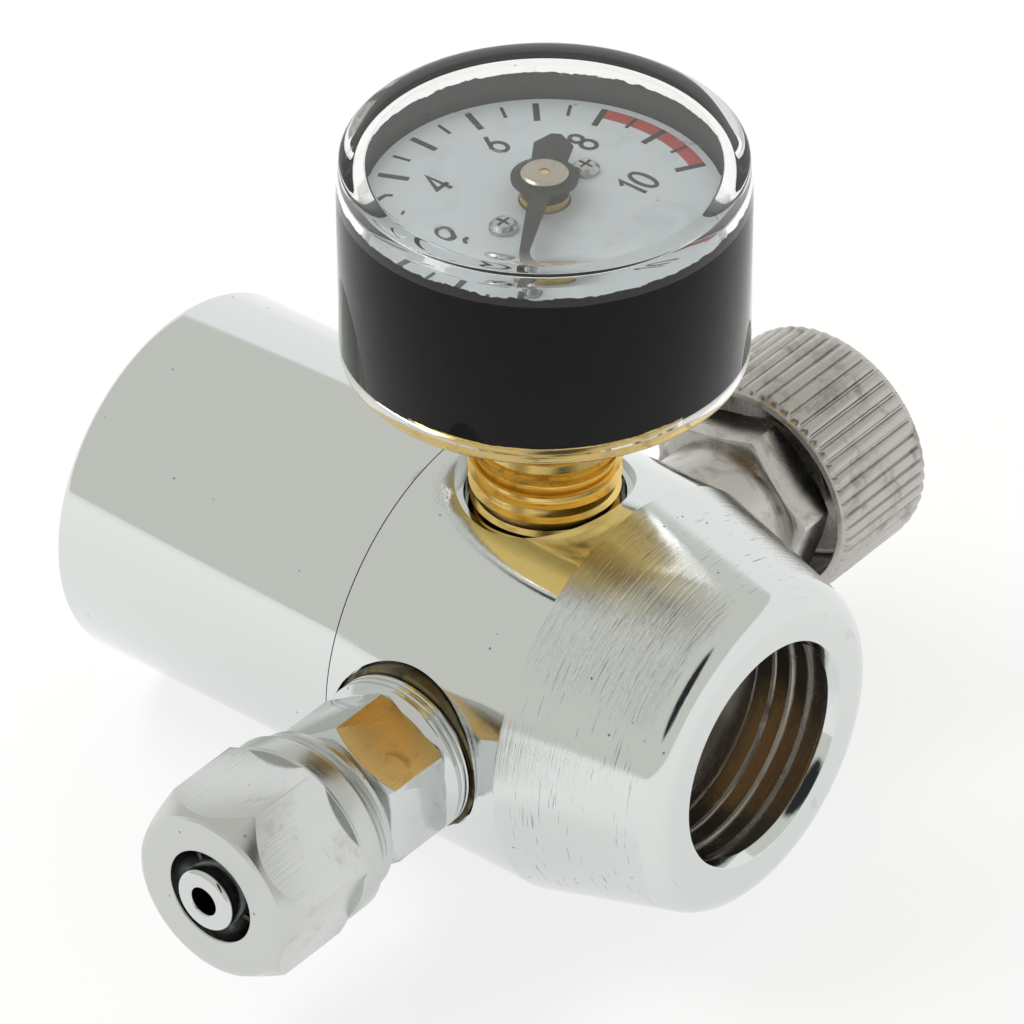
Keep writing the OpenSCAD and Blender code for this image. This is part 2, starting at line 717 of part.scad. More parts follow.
module movement_screws() color("silver") placed()
    for (side = [-1, 1]) translate([side * plate_screw_x, plate_screw_y, 0]) union() {
        rod(low_plate_z + 0.02, low_plate_z + plate_t + 0.1, 0.5);
        rod(low_plate_z + plate_t, low_plate_z + plate_t + 0.5, 0.9);
    }

module flat_tube_section(height, width) {
    square([width, height - width], center = true);
    for (side = [-1, 1]) translate([0, side * (height - width) / 2]) circle(d = width, $fn = 24);
}

module bourdon_tube() color("peru") placed() rotate([0, 0, tip_angle + 3])
    rotate_extrude(angle = 263 - tip_angle - 3) translate([bourdon_r, tube_z + tube_h / 2])
        difference() {
            flat_tube_section(tube_h, tube_w);
            flat_tube_section(tube_h - 0.4, tube_w - 0.4);
        }

module bourdon_tip() color("gold") placed() rotate([0, 0, tip_angle - 3])
    rotate_extrude(angle = 6) translate([bourdon_r - 0.7, tube_z - 0.1])
        square([1.4, tube_h + 0.2]);

// A thin tooth that points along +X from the gear's root
module tooth(root, tip, width) polygon([[root - 0.1, -width], [tip, -width / 2],
                                        [tip, width / 2], [root - 0.1, width]]);

module sector_gear() color("gold") placed() translate([sector_x, sector_y, 0]) {
    step = 360 / (pinion_teeth * gear_ratio);
    root = sector_pitch_r - 1.2 * gear_module;
    tip = sector_pitch_r + 0.85 * gear_module;
    mesh = 180 + sector_angle;
    translate([0, 0, sector_z]) linear_extrude(sector_t) {
        circle(r = 1.1);
        rotate([0, 0, mesh - 34]) polygon(concat([[0, 0]], arc(0, 0, root, 0, 40, 10)));
        for (i = [-8 : 1]) rotate([0, 0, mesh + (i + 0.5) * step])
            tooth(root, tip, 0.24 * PI * gear_module);
        rotate([0, 0, tail_angle]) translate([0, -0.5]) square([tail_l, 1]);
        rotate([0, 0, tail_angle]) translate([tail_l, 0]) circle(r = 0.5);
    }
    rod(low_plate_z + face_gap, top_plate_z + plate_t - face_gap, pivot_r);
    rotate([0, 0, tail_angle]) translate([tail_l, 0, 0]) rod(sector_z, link_z + link_t + 0.2, link_pin_r);
}

module tip_link() color("gold") placed() translate([0, 0, link_z]) linear_extrude(link_t) {
    reach = norm([tip_x - tail_x, tip_y - tail_y]);
    lean = atan2(tip_y - tail_y, tip_x - tail_x);
    difference() {
        translate([tail_x, tail_y]) rotate([0, 0, lean]) union() {
            translate([0, -0.3]) square([reach, 0.6]);
            circle(r = 0.55);
            translate([reach, 0]) circle(r = 0.55);
        }
        translate([tail_x, tail_y]) circle(r = link_pin_r + run_gap);
        translate([tip_x, tip_y]) circle(r = link_pin_r + run_gap);
    }
}

module pinion() color("gold") placed() {
    root = pinion_pitch_r - 1.2 * gear_module;
    tip = pinion_pitch_r + 0.85 * gear_module;
    translate([0, 0, sector_z - 0.3]) linear_extrude(1) union() {
        circle(r = root);
        for (i = [0 : pinion_teeth - 1]) rotate([0, 0, sector_angle + 360 * i / pinion_teeth])
            tooth(root, tip, 0.2 * PI * gear_module);
    }
    rod(low_plate_z + face_gap, pointer_z + pointer_t + 0.3, arbor_r);
}

// A point of the hairspring's flat winding, after so many twenty-fourths of a turn
function winding(step, shift) = let(a = 15 * step, r = 0.75 + 0.55 * step / 24 + shift)
    [r * cos(a), r * sin(a)];

module hairspring() color("lightsteelblue") placed() translate([0, 0, sector_z + 1.8])
    linear_extrude(0.3) {
        last = 24 * 3;
        polygon(concat([for (i = [0 : last]) winding(i, 0.06)],
                       [for (i = [last : -1 : 0]) winding(i, -0.06)]));
    }

module pointer() color("dimgray") placed() difference() {
    translate([0, 0, pointer_z]) linear_extrude(pointer_t) rotate([0, 0, zero_angle]) {
        circle(r = hub_r);
        polygon([[0, -needle_half_w], [needle_tip_r, -tip_half_w], [needle_tip_r, tip_half_w],
                 [0, needle_half_w]]);
        polygon([[0, 0.95], [-3.5, 1.2], [-4.6, 0.3],
                 [-4.6, -0.3], [-3.5, -1.2], [0, -0.95]]);
    }
    rod(pointer_z - past, pointer_z + past, arbor_hole_r);
}

module pointer_cap() color("silver") placed() difference() {
    foot = pointer_z + pointer_t;
    turned([[0, foot], [cap_r, foot], [cap_r, foot + 0.25], [cap_r - 0.15, foot + cap_t],
            [0, foot + cap_t]]);
    rod(pointer_z, pointer_z + past, arbor_hole_r);
}

body();
spring_cap();
preset_screw();
spring_seat();
main_spring();
piston();
piston_o_ring();
push_pin();
valve_seat();
poppet();
poppet_seal();
poppet_spring();
valve_retainer();
inlet_filter();
inlet_gasket();
outlet_gasket();
outlet_fitting();
compression_nut();
bonnet_gasket();
valve_bonnet();
needle_stem();
stem_o_ring();
knob();
knob_screw();
gauge_gasket();
gauge_base();
gauge_lens();
gauge_band();
dial_plate();
dial_screws();
stop_pin();
low_movement_plate();
top_movement_plate();
movement_pillars();
movement_screws();
bourdon_tube();
bourdon_tip();
sector_gear();
tip_link();
pinion();
hairspring();
pointer();
pointer_cap();
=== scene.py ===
# %% [markdown]
# # A miniature gas pressure regulator
# The regulator is a chrome body that lies along X. A gas bottle screws into its threaded nose (+X),
# a spring sits in the long bonnet behind it (-X), a gauge stands on top (+Z), a hose leaves through
# a compression fitting (-Y), and a knurled knob (+Y) closes a needle valve.
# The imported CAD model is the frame: every piece below takes its place from that model's boxes.

# %% Load the frame
import json
import math
import bmesh
import bpy
from mathutils import Matrix, Vector

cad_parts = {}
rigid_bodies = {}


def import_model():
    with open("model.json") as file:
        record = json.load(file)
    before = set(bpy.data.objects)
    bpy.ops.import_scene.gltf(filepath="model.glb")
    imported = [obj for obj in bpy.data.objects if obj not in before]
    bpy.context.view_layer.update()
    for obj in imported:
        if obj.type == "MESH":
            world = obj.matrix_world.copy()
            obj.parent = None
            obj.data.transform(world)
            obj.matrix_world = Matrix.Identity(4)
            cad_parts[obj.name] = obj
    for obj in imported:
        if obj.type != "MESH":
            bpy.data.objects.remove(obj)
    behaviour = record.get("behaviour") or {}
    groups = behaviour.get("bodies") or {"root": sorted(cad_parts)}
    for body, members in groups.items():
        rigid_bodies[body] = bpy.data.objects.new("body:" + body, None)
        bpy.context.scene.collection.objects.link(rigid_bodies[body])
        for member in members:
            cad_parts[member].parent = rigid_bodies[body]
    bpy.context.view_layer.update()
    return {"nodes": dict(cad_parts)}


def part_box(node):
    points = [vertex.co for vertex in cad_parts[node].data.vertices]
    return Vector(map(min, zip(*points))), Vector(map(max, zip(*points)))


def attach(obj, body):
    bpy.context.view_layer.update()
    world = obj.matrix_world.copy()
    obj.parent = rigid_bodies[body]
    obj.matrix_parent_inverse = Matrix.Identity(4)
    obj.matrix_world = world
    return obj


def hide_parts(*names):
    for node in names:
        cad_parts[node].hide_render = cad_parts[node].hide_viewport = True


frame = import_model()
nodes = frame["nodes"]

# %% [markdown]
# Metalworkers think in millimetres from the point where the four axes meet, so the sizes below do
# too. One scale matrix turns them into the frame's metres. The gauge stands over that point, so its
# centre gives the point's place along X.

# %% Millimetres from the meeting point
MM = 0.001
cup_low, cup_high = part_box("gauge_lens")
cross_x = (cup_low.x + cup_high.x) / 2 / MM


def span(node, axis):
    """A node's lowest and highest place along one axis, in mm from the meeting point."""
    low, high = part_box(node)
    shift = cross_x if axis == 0 else 0.0
    return low[axis] / MM - shift, high[axis] / MM - shift


def placed(name, data):
    """A new object in the scene."""
    thing = bpy.data.objects.new(name, data)
    bpy.context.scene.collection.objects.link(thing)
    return thing


PLACE = Matrix.Scale(MM, 4) @ Matrix.Translation((cross_x, 0, 0))
outlet_x = sum(span("compression_nut", 0)) / 2
AXES = {
    "x": Matrix.Rotation(math.radians(90), 4, "Y"),
    "y": Matrix.Rotation(math.radians(-90), 4, "X"),
    "-y": Matrix.Translation((outlet_x, 0, 0)) @ Matrix.Rotation(math.radians(90), 4, "X"),
    "z": Matrix.Identity(4),
}
print("meeting point at x =", round(cross_x, 3), "mm, outlet offset", round(outlet_x, 3), "mm")

# %% [markdown]
# ## Camera
# A long lens from above the hose side shows the nose, the gauge's dial and both side fittings. Its
# place is given from the meeting point, and its turn comes from one azimuth, elevation and roll.

# %% Camera
AZIMUTH, ELEVATION, ROLL = map(math.radians, (39.280, 36.632, -0.3065))
back = Vector((math.sin(AZIMUTH) * math.cos(ELEVATION),
               -math.cos(AZIMUTH) * math.cos(ELEVATION), math.sin(ELEVATION)))
right = Vector((math.cos(AZIMUTH), math.sin(AZIMUTH), 0))
up = back.cross(right)
turn = Matrix((right * math.cos(ROLL) + up * math.sin(ROLL),
               up * math.cos(ROLL) - right * math.sin(ROLL), back)).transposed()
camera = placed("camera", bpy.data.cameras.new("camera"))
camera.data.sensor_width, camera.data.lens = 36, 270.77
camera.data.clip_start, camera.data.clip_end = 0.05, 20
camera.matrix_world = (Matrix.Translation(PLACE @ Vector((239.384, -295.918, 293.520)))
                       @ turn.to_4x4())
bpy.context.scene.camera = camera
bpy.context.scene.view_settings.view_transform = "Standard"
print("camera at", [round(v, 3) for v in camera.matrix_world.translation])

# %% [markdown]
# ## Node helpers
# Every finish is a small node tree. `add` makes a node and fills its inputs. A value that is a
# node, or a (node, output) pair, becomes a link. The rest are short names for common sums.

# %% Node helpers
OTHER_KINDS = ("Geometry", "Function")


def plug(tree, node, socket, value):
    """Sets one input, or links it to another node's output (the first, if none is named)."""
    if isinstance(value, bpy.types.Node):
        value = value, 0
    if isinstance(value, tuple) and isinstance(value[0], bpy.types.Node):
        tree.links.new(value[0].outputs[value[1]], node.inputs[socket])
    else:
        node.inputs[socket].default_value = value


def add(tree, kind, label="", **values):
    """A node with its properties and inputs filled; i0, i1 and so on are inputs by number."""
    node = tree.nodes.new(kind if kind.startswith(OTHER_KINDS) else "ShaderNode" + kind)
    node.label = label
    for key, value in values.items():
        name = key.replace("_", " ")
        if hasattr(node, key):
            setattr(node, key, value)
        else:
            plug(tree, node, name if name in node.inputs else int(key[1:]), value)
    return node


def calc(tree, operation, *inputs):
    """A Math node."""
    return add(tree, "Math", operation=operation, **{f"i{k}": v for k, v in enumerate(inputs)})


def times(tree, product, *factors):
    """The product of several numbers."""
    for factor in factors:
        product = calc(tree, "MULTIPLY", product, factor)
    return product


def ramp(tree, value, start, stop, low=0.0, high=1.0, **more):
    """Goes from low to high while the value goes from start to stop."""
    return add(tree, "MapRange", Value=value, From_Min=start, From_Max=stop, To_Min=low,
               To_Max=high, **more)


def blend(tree, mask, low, high):
    """A Mix node between two colours; its colour comes out of output 2."""
    return add(tree, "Mix", data_type="RGBA", i0=mask, i6=low, i7=high)


# %% [markdown]
# ## Light, sky and floor
# Chrome shows its surroundings and almost nothing else. The real one stands on a white table under
# a pale grey ceiling panel that leans towards the viewer, so the sky here is two tones with one
# straight edge: grey where a direction lies within about 80 degrees of the panel's middle, white
# elsewhere. The viewer stands in front of it all and shows as a slim dark oval on round edges.

# %% Sky
world = bpy.data.worlds.new("studio")
bpy.context.scene.world = world
world.use_nodes = True
sky = world.node_tree
sky.nodes.clear()
direction = add(sky, "TexCoord"), "Generated"
TO_PANEL, TO_VIEWER = (0.0, -0.438, 0.899), (0.498, -0.477, 0.722)
TABLE_WHITE, PANEL_GREY = (1.0, 1.0, 1.0, 1), (0.715, 0.72, 0.675, 1)
VIEWER_DARK = (0.03, 0.03, 0.035, 1)
# The viewer's outline: each row is an axis across the oval and the half width along it.
OVAL = ((0.0, 0.693, 0.721), 0.5), ((0.861, 0.366, -0.352), 0.2)


def facing(axis):
    """How far the direction points along an axis."""
    return add(sky, "VectorMath", operation="DOT_PRODUCT", i0=direction, i1=axis), "Value"


edge = ramp(sky, facing(TO_PANEL), 0.145, 0.185, interpolation_type="SMOOTHSTEP")
tones = blend(sky, edge, TABLE_WHITE, PANEL_GREY)
spread = []
for axis, half_width in OVAL:
    middle = Vector(axis).dot(Vector(TO_VIEWER))
    share = calc(sky, "DIVIDE", calc(sky, "SUBTRACT", facing(axis), middle), half_width)
    spread.append(times(sky, share, share))
oval = ramp(sky, calc(sky, "ADD", *spread), 0.75, 1.1, 1.0, 0.0)
in_front = calc(sky, "GREATER_THAN", facing(TO_VIEWER), 0.3)
shade = blend(sky, times(sky, oval, in_front), (tones, 2), VIEWER_DARK)
add(sky, "OutputWorld", Surface=add(sky, "Background", Color=(shade, 2), Strength=1.0))
print("sky has", len(sky.nodes), "nodes")

# %% [markdown]
# The floor is a wide pale sheet that glows a little, so it stays white up to the horizon. A lamp
# would put its own outline into the metal, so the one soft lamp is hidden from reflections.

# %% Floor and one soft lamp
floor_z = min(span("body", 2)[0], span("compression_nut", 2)[0])
floor_mesh = bpy.data.meshes.new("floor")
half = 1500
floor_mesh.from_pydata([(-half, -half, 0), (half, -half, 0), (half, half, 0), (-half, half, 0)],
                       [], [(0, 1, 2, 3)])
floor_mesh.transform(PLACE @ Matrix.Translation((0, 0, floor_z - 0.02)))
floor = placed("floor", floor_mesh)
paper = bpy.data.materials.new("white_paper")
paper.use_nodes = True
for key, value in {"Base Color": (0.35, 0.35, 0.35, 1), "Roughness": 0.9,
                   "Emission Color": (1, 1, 1, 1), "Emission Strength": 0.68}.items():
    paper.node_tree.nodes["Principled BSDF"].inputs[key].default_value = value
floor_mesh.materials.append(paper)

lamp = placed("soft_lamp", bpy.data.lights.new("soft_lamp", "AREA"))
lamp.data.shape, lamp.data.size, lamp.data.size_y = "RECTANGLE", 0.35, 0.12
lamp.data.energy = 0.8
lamp.visible_glossy = False
lamp_from = PLACE @ Vector((-260, -120, 420))
lamp_aim = (PLACE @ Vector((0, 0, 10)) - lamp_from).to_track_quat("-Z", "Y")
lamp.matrix_world = Matrix.Translation(lamp_from) @ lamp_aim.to_matrix().to_4x4()
print("floor at z =", round(floor_z, 2), "mm")

# %% [markdown]
# ## Shared surface effects
# Three node groups serve many finishes. Each one reads Object coordinates in metres and puts out
# only masks and heights, so the finished materials can be baked. "lathe marks" draws fine grooves
# round an axis, because almost every piece here was turned.

# %% Group: lathe marks


def group(name, inputs, outputs):
    """An empty shader node group with its input and output sockets."""
    tree = bpy.data.node_groups.new(name, "ShaderNodeTree")
    for label, value in inputs.items():
        kind = "NodeSocketVector" if isinstance(value, tuple) else "NodeSocketFloat"
        socket = tree.interface.new_socket(label, in_out="INPUT", socket_type=kind)
        socket.default_value = value
    for label in outputs:
        tree.interface.new_socket(label, in_out="OUTPUT", socket_type="NodeSocketFloat")
    return tree, tree.nodes.new("NodeGroupInput"), tree.nodes.new("NodeGroupOutput")


lathe_marks, given, result = group(
    "lathe marks", {"Along": (0.0, 0.0, 0.0), "Lines per mm": 18.0, "Arc length": 0.35},
    ["Height", "Streaks"])
tree = lathe_marks
# Along holds (distance along the axis, across 1, across 2), all in metres.
parts = add(tree, "SeparateXYZ", i0=(given, "Along"))
rates = (given, "Lines per mm"), (given, "Arc length"), (given, "Arc length")
point = add(tree, "CombineXYZ", **{
    f"i{i}": times(tree, (parts, i), 1000.0, rate) for i, rate in enumerate(rates)})
fine = add(tree, "TexNoise", "fine grooves", Vector=point, Scale=1.0, Detail=4.0,
           Roughness=0.65)
broad = add(tree, "TexNoise", "where they run deep", Vector=point, Scale=0.35, Detail=2.0)
deep = ramp(tree, broad, 0.5, 0.72)
plug(tree, result, "Height",
     calc(tree, "ADD", fine, times(tree, deep, -0.35)))
plug(tree, result, "Streaks", deep)
print("lathe marks:", len(tree.nodes), "nodes")

# %% [markdown]
# "handling marks" gives sparse short scratches and dark specks. The scratches are stretches of
# cell borders, kept only in a few places.

# %% Group: handling marks
handling, given, result = group(
    "handling marks", {"Place": (0.0, 0.0, 0.0), "Scratch scale": 260.0, "Speck scale": 900.0},
    ["Scratches", "Specks"])
tree = handling
place = given, "Place"
bent = add(tree, "TexNoise", "wander", Vector=place, Scale=180.0, Detail=1.0)
shift = add(tree, "VectorMath", operation="MULTIPLY_ADD", i0=(bent, 1),
            i1=(0.0025, 0.0025, 0.0025), i2=place)
hairs = add(tree, "TexVoronoi", "hair lines", feature="DISTANCE_TO_EDGE", Vector=shift,
            Scale=(given, "Scratch scale"))
patch = add(tree, "TexNoise", "where they lie", Vector=place, Scale=330.0, Detail=0.0)
plug(tree, result, "Scratches",
     times(tree, ramp(tree, hairs, 0.0, 0.012, 1.0, 0.0),
           ramp(tree, patch, 0.58, 0.66)))
dust = add(tree, "TexVoronoi", "specks", feature="F1", Vector=place,
           Scale=(given, "Speck scale"), Randomness=1.0)
rare = calc(tree, "GREATER_THAN", add(tree, "SeparateColor", i0=(dust, 1)), 0.8)
plug(tree, result, "Specks",
     times(tree, ramp(tree, dust, 0.05, 0.10, 1.0, 0.0), rare))
print("handling marks:", len(tree.nodes), "nodes")

# %% [markdown]
# "tarnish" is a soft cloudy mask. A larger amount lets more of the clouds through.

# %% Group: tarnish
tarnish, given, result = group("tarnish", {"Place": (0.0, 0.0, 0.0), "Size": 320.0, "Amount": 0.5},
                               ["Mask"])
tree = tarnish
cloud = add(tree, "TexNoise", "clouds", Vector=(given, "Place"), Scale=(given, "Size"),
            Detail=6.0, Roughness=0.62, Distortion=0.6)
start = calc(tree, "SUBTRACT", 0.9, (given, "Amount"))
plug(tree, result, "Mask", ramp(tree, cloud, start, calc(tree, "ADD", start, 0.25),
                                   interpolation_type="SMOOTHSTEP"))
print("tarnish:", len(tree.nodes), "nodes")

# %% [markdown]
# ## Finishes
# A finish starts from one Principled shader with its own fixed numbers. The groups then change its
# colour, roughness and bump from place to place.

# %% Material helpers


def begin(name, color, roughness, metallic=0.0, **fixed):
    """A new material; fixed values go straight on the shader's own sockets."""
    material = bpy.data.materials.new(name)
    material.use_nodes = True
    tree = material.node_tree
    shader = tree.nodes["Principled BSDF"]
    fixed.update(Base_Color=(*color, 1), Roughness=roughness, Metallic=metallic)
    for key, value in fixed.items():
        shader.inputs[key.replace("_", " ")].default_value = value
    return material, tree, shader, (add(tree, "TexCoord"), "Object")


def use(tree, effect, **inputs):
    """Places a shared group and fills its inputs by name."""
    return add(tree, "Group", node_tree=effect, **inputs)


def tinted(tree, shader, mask, low, high):
    """The shader's colour goes from low to high with a mask."""
    mix = blend(tree, mask, (*low, 1), (*high, 1))
    plug(tree, shader, "Base Color", (mix, 2))
    return mix


def roughened(tree, shader, mask, low, high):
    """The shader's roughness goes from low to high with a mask."""
    plug(tree, shader, "Roughness", ramp(tree, mask, 0.0, 1.0, low, high))


def bumped(tree, shader, height, strength, distance=0.00002):
    """Feeds a height to the shader's normal through a Bump node."""
    plug(tree, shader, "Normal",
         add(tree, "Bump", Strength=strength, Distance=distance, Height=height))


def marks_round(tree, place, axis, lines, arc):
    """Lathe marks round an axis: its coordinate is moved to the front for the group."""
    if axis != "x":
        split = add(tree, "SeparateXYZ", i0=place)
        order = {"y": (1, 0, 2), "z": (2, 0, 1)}[axis]
        place = add(tree, "CombineXYZ", **{f"i{i}": (split, k) for i, k in enumerate(order)})
    return use(tree, lathe_marks, Along=place, Lines_per_mm=lines, Arc_length=arc)


# %% [markdown]
# Bright chrome is nearly a mirror. It keeps faint marks from the lathe under the plating, a few
# hair lines and dark specks. The taper was left with coarser marks than the cylinders, so the
# body's own chrome raises the grooves where x passes the start of the taper.

# %% Finish: chrome


def chrome_finish(name, axis, lines=16.0, color=(0.70, 0.725, 0.712), rough=0.035):
    """Plated metal without its bump, and what the bump and more dirt can be made from."""
    material, tree, shader, place = begin(name, color, rough, 1.0)
    marks = marks_round(tree, place, axis, lines, 0.3)
    wear = use(tree, handling, Place=place)
    dirt = tinted(tree, shader, (wear, "Specks"), color, tuple(0.3 * c for c in color))
    streaky = ramp(tree, (marks, "Streaks"), 0.0, 1.0, rough, rough + 0.05)
    plug(tree, shader, "Roughness",
         calc(tree, "ADD", streaky, times(tree, (wear, "Scratches"), 0.015)))
    return material, tree, shader, place, (marks, "Height"), (wear, "Specks"), dirt


def plain_chrome(name, axis, grooves=0.12, **more):
    """Chrome with the same marks everywhere."""
    material, tree, shader, _place, height, _specks, _dirt = chrome_finish(name, axis, **more)
    bumped(tree, shader, height, grooves, 0.000012)
    return material


taper_x = 6.8
body_chrome, tree, shader, place, height, specks, dirt = chrome_finish("body_chrome", "x", 14.0)
x_place = add(tree, "SeparateXYZ", i0=place)


def over_x(start, stop, low=0.0, high=1.0, **more):
    """A mask that goes from low to high between two places along the body, in mm."""
    return ramp(tree, x_place, (cross_x + start) * MM, (cross_x + stop) * MM, low, high, **more)


on_taper = over_x(taper_x - 0.1, taper_x + 0.1, 0.16, interpolation_type="SMOOTHSTEP")
off_face = over_x(15.2, 16.2, 1.0, 0.15)
bumped(tree, shader, times(tree, height, on_taper, off_face), 0.9)
long_way = add(tree, "VectorMath", "stretched round the axis", operation="MULTIPLY", i0=place,
               i1=(11000, 420, 420))
nicks = add(tree, "TexNoise", "short dark nicks", Vector=long_way, Scale=1.0, Detail=1.0)
nick = times(tree, ramp(tree, nicks, 0.69, 0.73, 0.0, 0.75), over_x(7.2, 8.5), off_face)
plug(tree, dirt, 0, calc(tree, "MAXIMUM", specks, nick))
chrome_x = plain_chrome("bonnet_chrome", "x")
chrome_y = plain_chrome("fitting_chrome", "y", 0.3, rough=0.07, color=(0.64, 0.66, 0.65))
print("chrome finishes:", body_chrome.name, chrome_x.name, chrome_y.name)

# %% [markdown]
# A flat that was milled keeps fine lines along the cutter's path, here along the fitting. The nut
# has handled flats: duller, a little cloudy and scratched along its length.

# %% Finish: milled flats


def milled_finish(name, color, dark, rough, grain=0.6):
    """Metal with cutter lines along Y."""
    material, tree, shader, place = begin(name, color, rough, 1.0)
    drawn = add(tree, "VectorMath", "drawn out along Y", operation="MULTIPLY", i0=place,
                i1=(9000, 220, 9000))
    lines = add(tree, "TexNoise", "cutter lines", Vector=drawn, Scale=1.0, Detail=3.0)
    cloud = use(tree, tarnish, Place=place, Size=480.0, Amount=0.36)
    wear = use(tree, handling, Place=place, Speck_scale=700.0)
    tinted(tree, shader, calc(tree, "MAXIMUM", (wear, "Specks"), cloud), color, dark)
    roughened(tree, shader, lines, rough - 0.05, rough + 0.1)
    bumped(tree, shader, lines, grain)
    return material


nut_turned = plain_chrome("nut_turned", "y", 0.6, color=(0.58, 0.595, 0.58), rough=0.24)
nut_flats = milled_finish("nut_flats", (0.62, 0.635, 0.62), (0.45, 0.45, 0.43), 0.15)
hex_flats = milled_finish("fitting_flats", (0.62, 0.64, 0.635), (0.45, 0.45, 0.44), 0.09, 0.25)
milled_brass = milled_finish("milled_brass", (0.74, 0.49, 0.19), (0.30, 0.18, 0.06), 0.34, 0.9)
print("milled finishes made")

# %% [markdown]
# The knob and the valve bonnet are nickel plated over a rougher cut, warmer and softer than the
# chrome. The knob's nickel is a little darker and rougher, with clouds of stain.

# %% Finish: satin nickel and steel


def turned_metal(name, axis, colors, rough, rougher, stains, lines, arc, grooves=0.5):
    """Lathe marks and clouds of stain; colors are clean and stained, stains size and amount."""
    material, tree, shader, place = begin(name, colors[0], rough, 1.0)
    marks = marks_round(tree, place, axis, lines, arc)
    cloud = use(tree, tarnish, Place=place, Size=stains[0], Amount=stains[1])
    tinted(tree, shader, cloud, *colors)
    roughened(tree, shader, cloud, rough, rough + rougher)
    bumped(tree, shader, (marks, "Height"), grooves)
    return material


def satin(name, axis, color, dark, rough, grooves=0.5, lines=22.0):
    """Dull plating or bare steel."""
    return turned_metal(name, axis, (color, dark), rough, 0.14, (420.0, 0.42), lines, 0.5, grooves)


nickel = satin("satin_nickel", "y", (0.56, 0.54, 0.51), (0.34, 0.31, 0.28), 0.22)
knob_nickel = satin("knob_nickel", "x", (0.50, 0.48, 0.455), (0.27, 0.245, 0.22), 0.27, 0.8, 5.0)
steel_x = satin("bare_steel", "x", (0.52, 0.53, 0.54), (0.32, 0.31, 0.3), 0.25)
print("satin finishes:", nickel.name, knob_nickel.name, steel_x.name)

# %% [markdown]
# Brass shows where nothing was plated: the gauge's stem, one milled flat of the hose fitting and
# everything inside.

# %% Finish: brass


def brass_finish(name, axis, color=(0.80, 0.58, 0.20), dark=(0.42, 0.24, 0.06), rough=0.2,
                 stains=0.36):
    """Bare metal with brown stains."""
    return turned_metal(name, axis, (color, dark), rough, 0.3, (520.0, stains), 12.0, 0.8)


brass = brass_finish("turned_brass", "z")
bronze = brass_finish("bronze", "z", (0.5, 0.28, 0.13), (0.22, 0.1, 0.05), 0.35)
# The inlet thread's metal in two copies: the bore's is darker, bare metal with painted shade; the
# ridge's is lighter, a painted highlight.
thread_metal = brass_finish("thread_metal", "x", (0.46, 0.435, 0.4), (0.24, 0.21, 0.18))
crest_metal_and_highlight = brass_finish("thread_crest", "x", (0.74, 0.72, 0.68), (0.42, 0.38, 0.33), 0.24)
ring_metal = brass_finish("outlet_ring", "y", (0.16, 0.135, 0.08), (0.05, 0.045, 0.03), 0.3, 0.5)
hub_metal = brass_finish("hub_metal", "z", (0.52, 0.47, 0.40), (0.36, 0.31, 0.25), 0.3, 0.4)
print("brass finishes made")

# %% [markdown]
# The soft and painted pieces: black rubber with a fine matt grain, ivory nylon, the clear cup of
# moulded acrylic, its black coat, the white dial, black and red print, and the dark needle. The
# cup's wall in front of the coat mirrors less than the rest of it, so the coat stays black.

# %% Finish: plastics and paints


def grained(name, color, rough, grain=0.25, scale=2600.0, **fixed):
    """A matt surface with a fine grain."""
    material, tree, shader, place = begin(name, color, rough, **fixed)
    noise = add(tree, "TexNoise", "grain", Vector=place, Scale=scale, Detail=3.0)
    cloud = use(tree, tarnish, Place=place, Size=260.0, Amount=0.4)
    tinted(tree, shader, cloud, color, tuple(c * 0.88 for c in color))
    roughened(tree, shader, noise, rough - 0.06, rough + 0.06)
    bumped(tree, shader, noise, grain, 0.00001)
    return material


# Near-black for the faces in the seam and the body's rounded rim beside it: painted shade for the
# dark line of the gap.
seam_grime = grained("seam_grime", (0.02, 0.019, 0.017), 0.7, 0.5)
rubber = grained("black_rubber", (0.018, 0.018, 0.019), 0.6, 0.5)
nylon = grained("ivory_nylon", (0.72, 0.69, 0.6), 0.45)
black_coat = grained("black_coat", (0.006, 0.006, 0.0055), 0.5, 0.05, Specular_IOR_Level=0.02)
coat_inside = grained("coat_inside", (0.065, 0.068, 0.072), 0.7, 0.9, 1400.0)
dial_white = grained("dial_white", (0.82, 0.89, 0.94), 0.42, 0.12)
ink_black = grained("ink_black", (0.02, 0.02, 0.022), 0.4, 0.1)
ink_red = grained("ink_red", (0.62, 0.06, 0.05), 0.4, 0.1)
needle_grey = grained("needle_grey", (0.022, 0.022, 0.021), 0.45, 0.2, Specular_IOR_Level=0.3)

acrylic = {"Transmission_Weight": 1.0, "Specular_IOR_Level": 0.1}
clear, tree, shader, place = begin("clear_acrylic", (1, 1, 1), 0.01, IOR=1.49, **acrylic)
worn = use(tree, handling, Place=place, Scratch_scale=190.0, Speck_scale=700.0)
tinted(tree, shader, (worn, "Specks"), (0.985, 0.99, 0.985), (0.55, 0.55, 0.52))
roughened(tree, shader, (worn, "Scratches"), 0.01, 0.22)
clear_wall = begin("clear_wall", (1, 1, 1), 0.012, IOR=1.22, **acrylic)[0]
print("plastic and paint finishes made")

# %% [markdown]
# ## Turned pieces
# Most of the regulator came off a lathe, so most pieces are an outline spun round an axis. A real
# edge is never perfectly sharp: it is broken with a file or rounded by polishing, and that tiny
# round catches the light. So an outline's corner may carry a radius, and the corner is replaced by
# a short arc before it is spun.

# %% Outlines
ARC_STEPS = 5


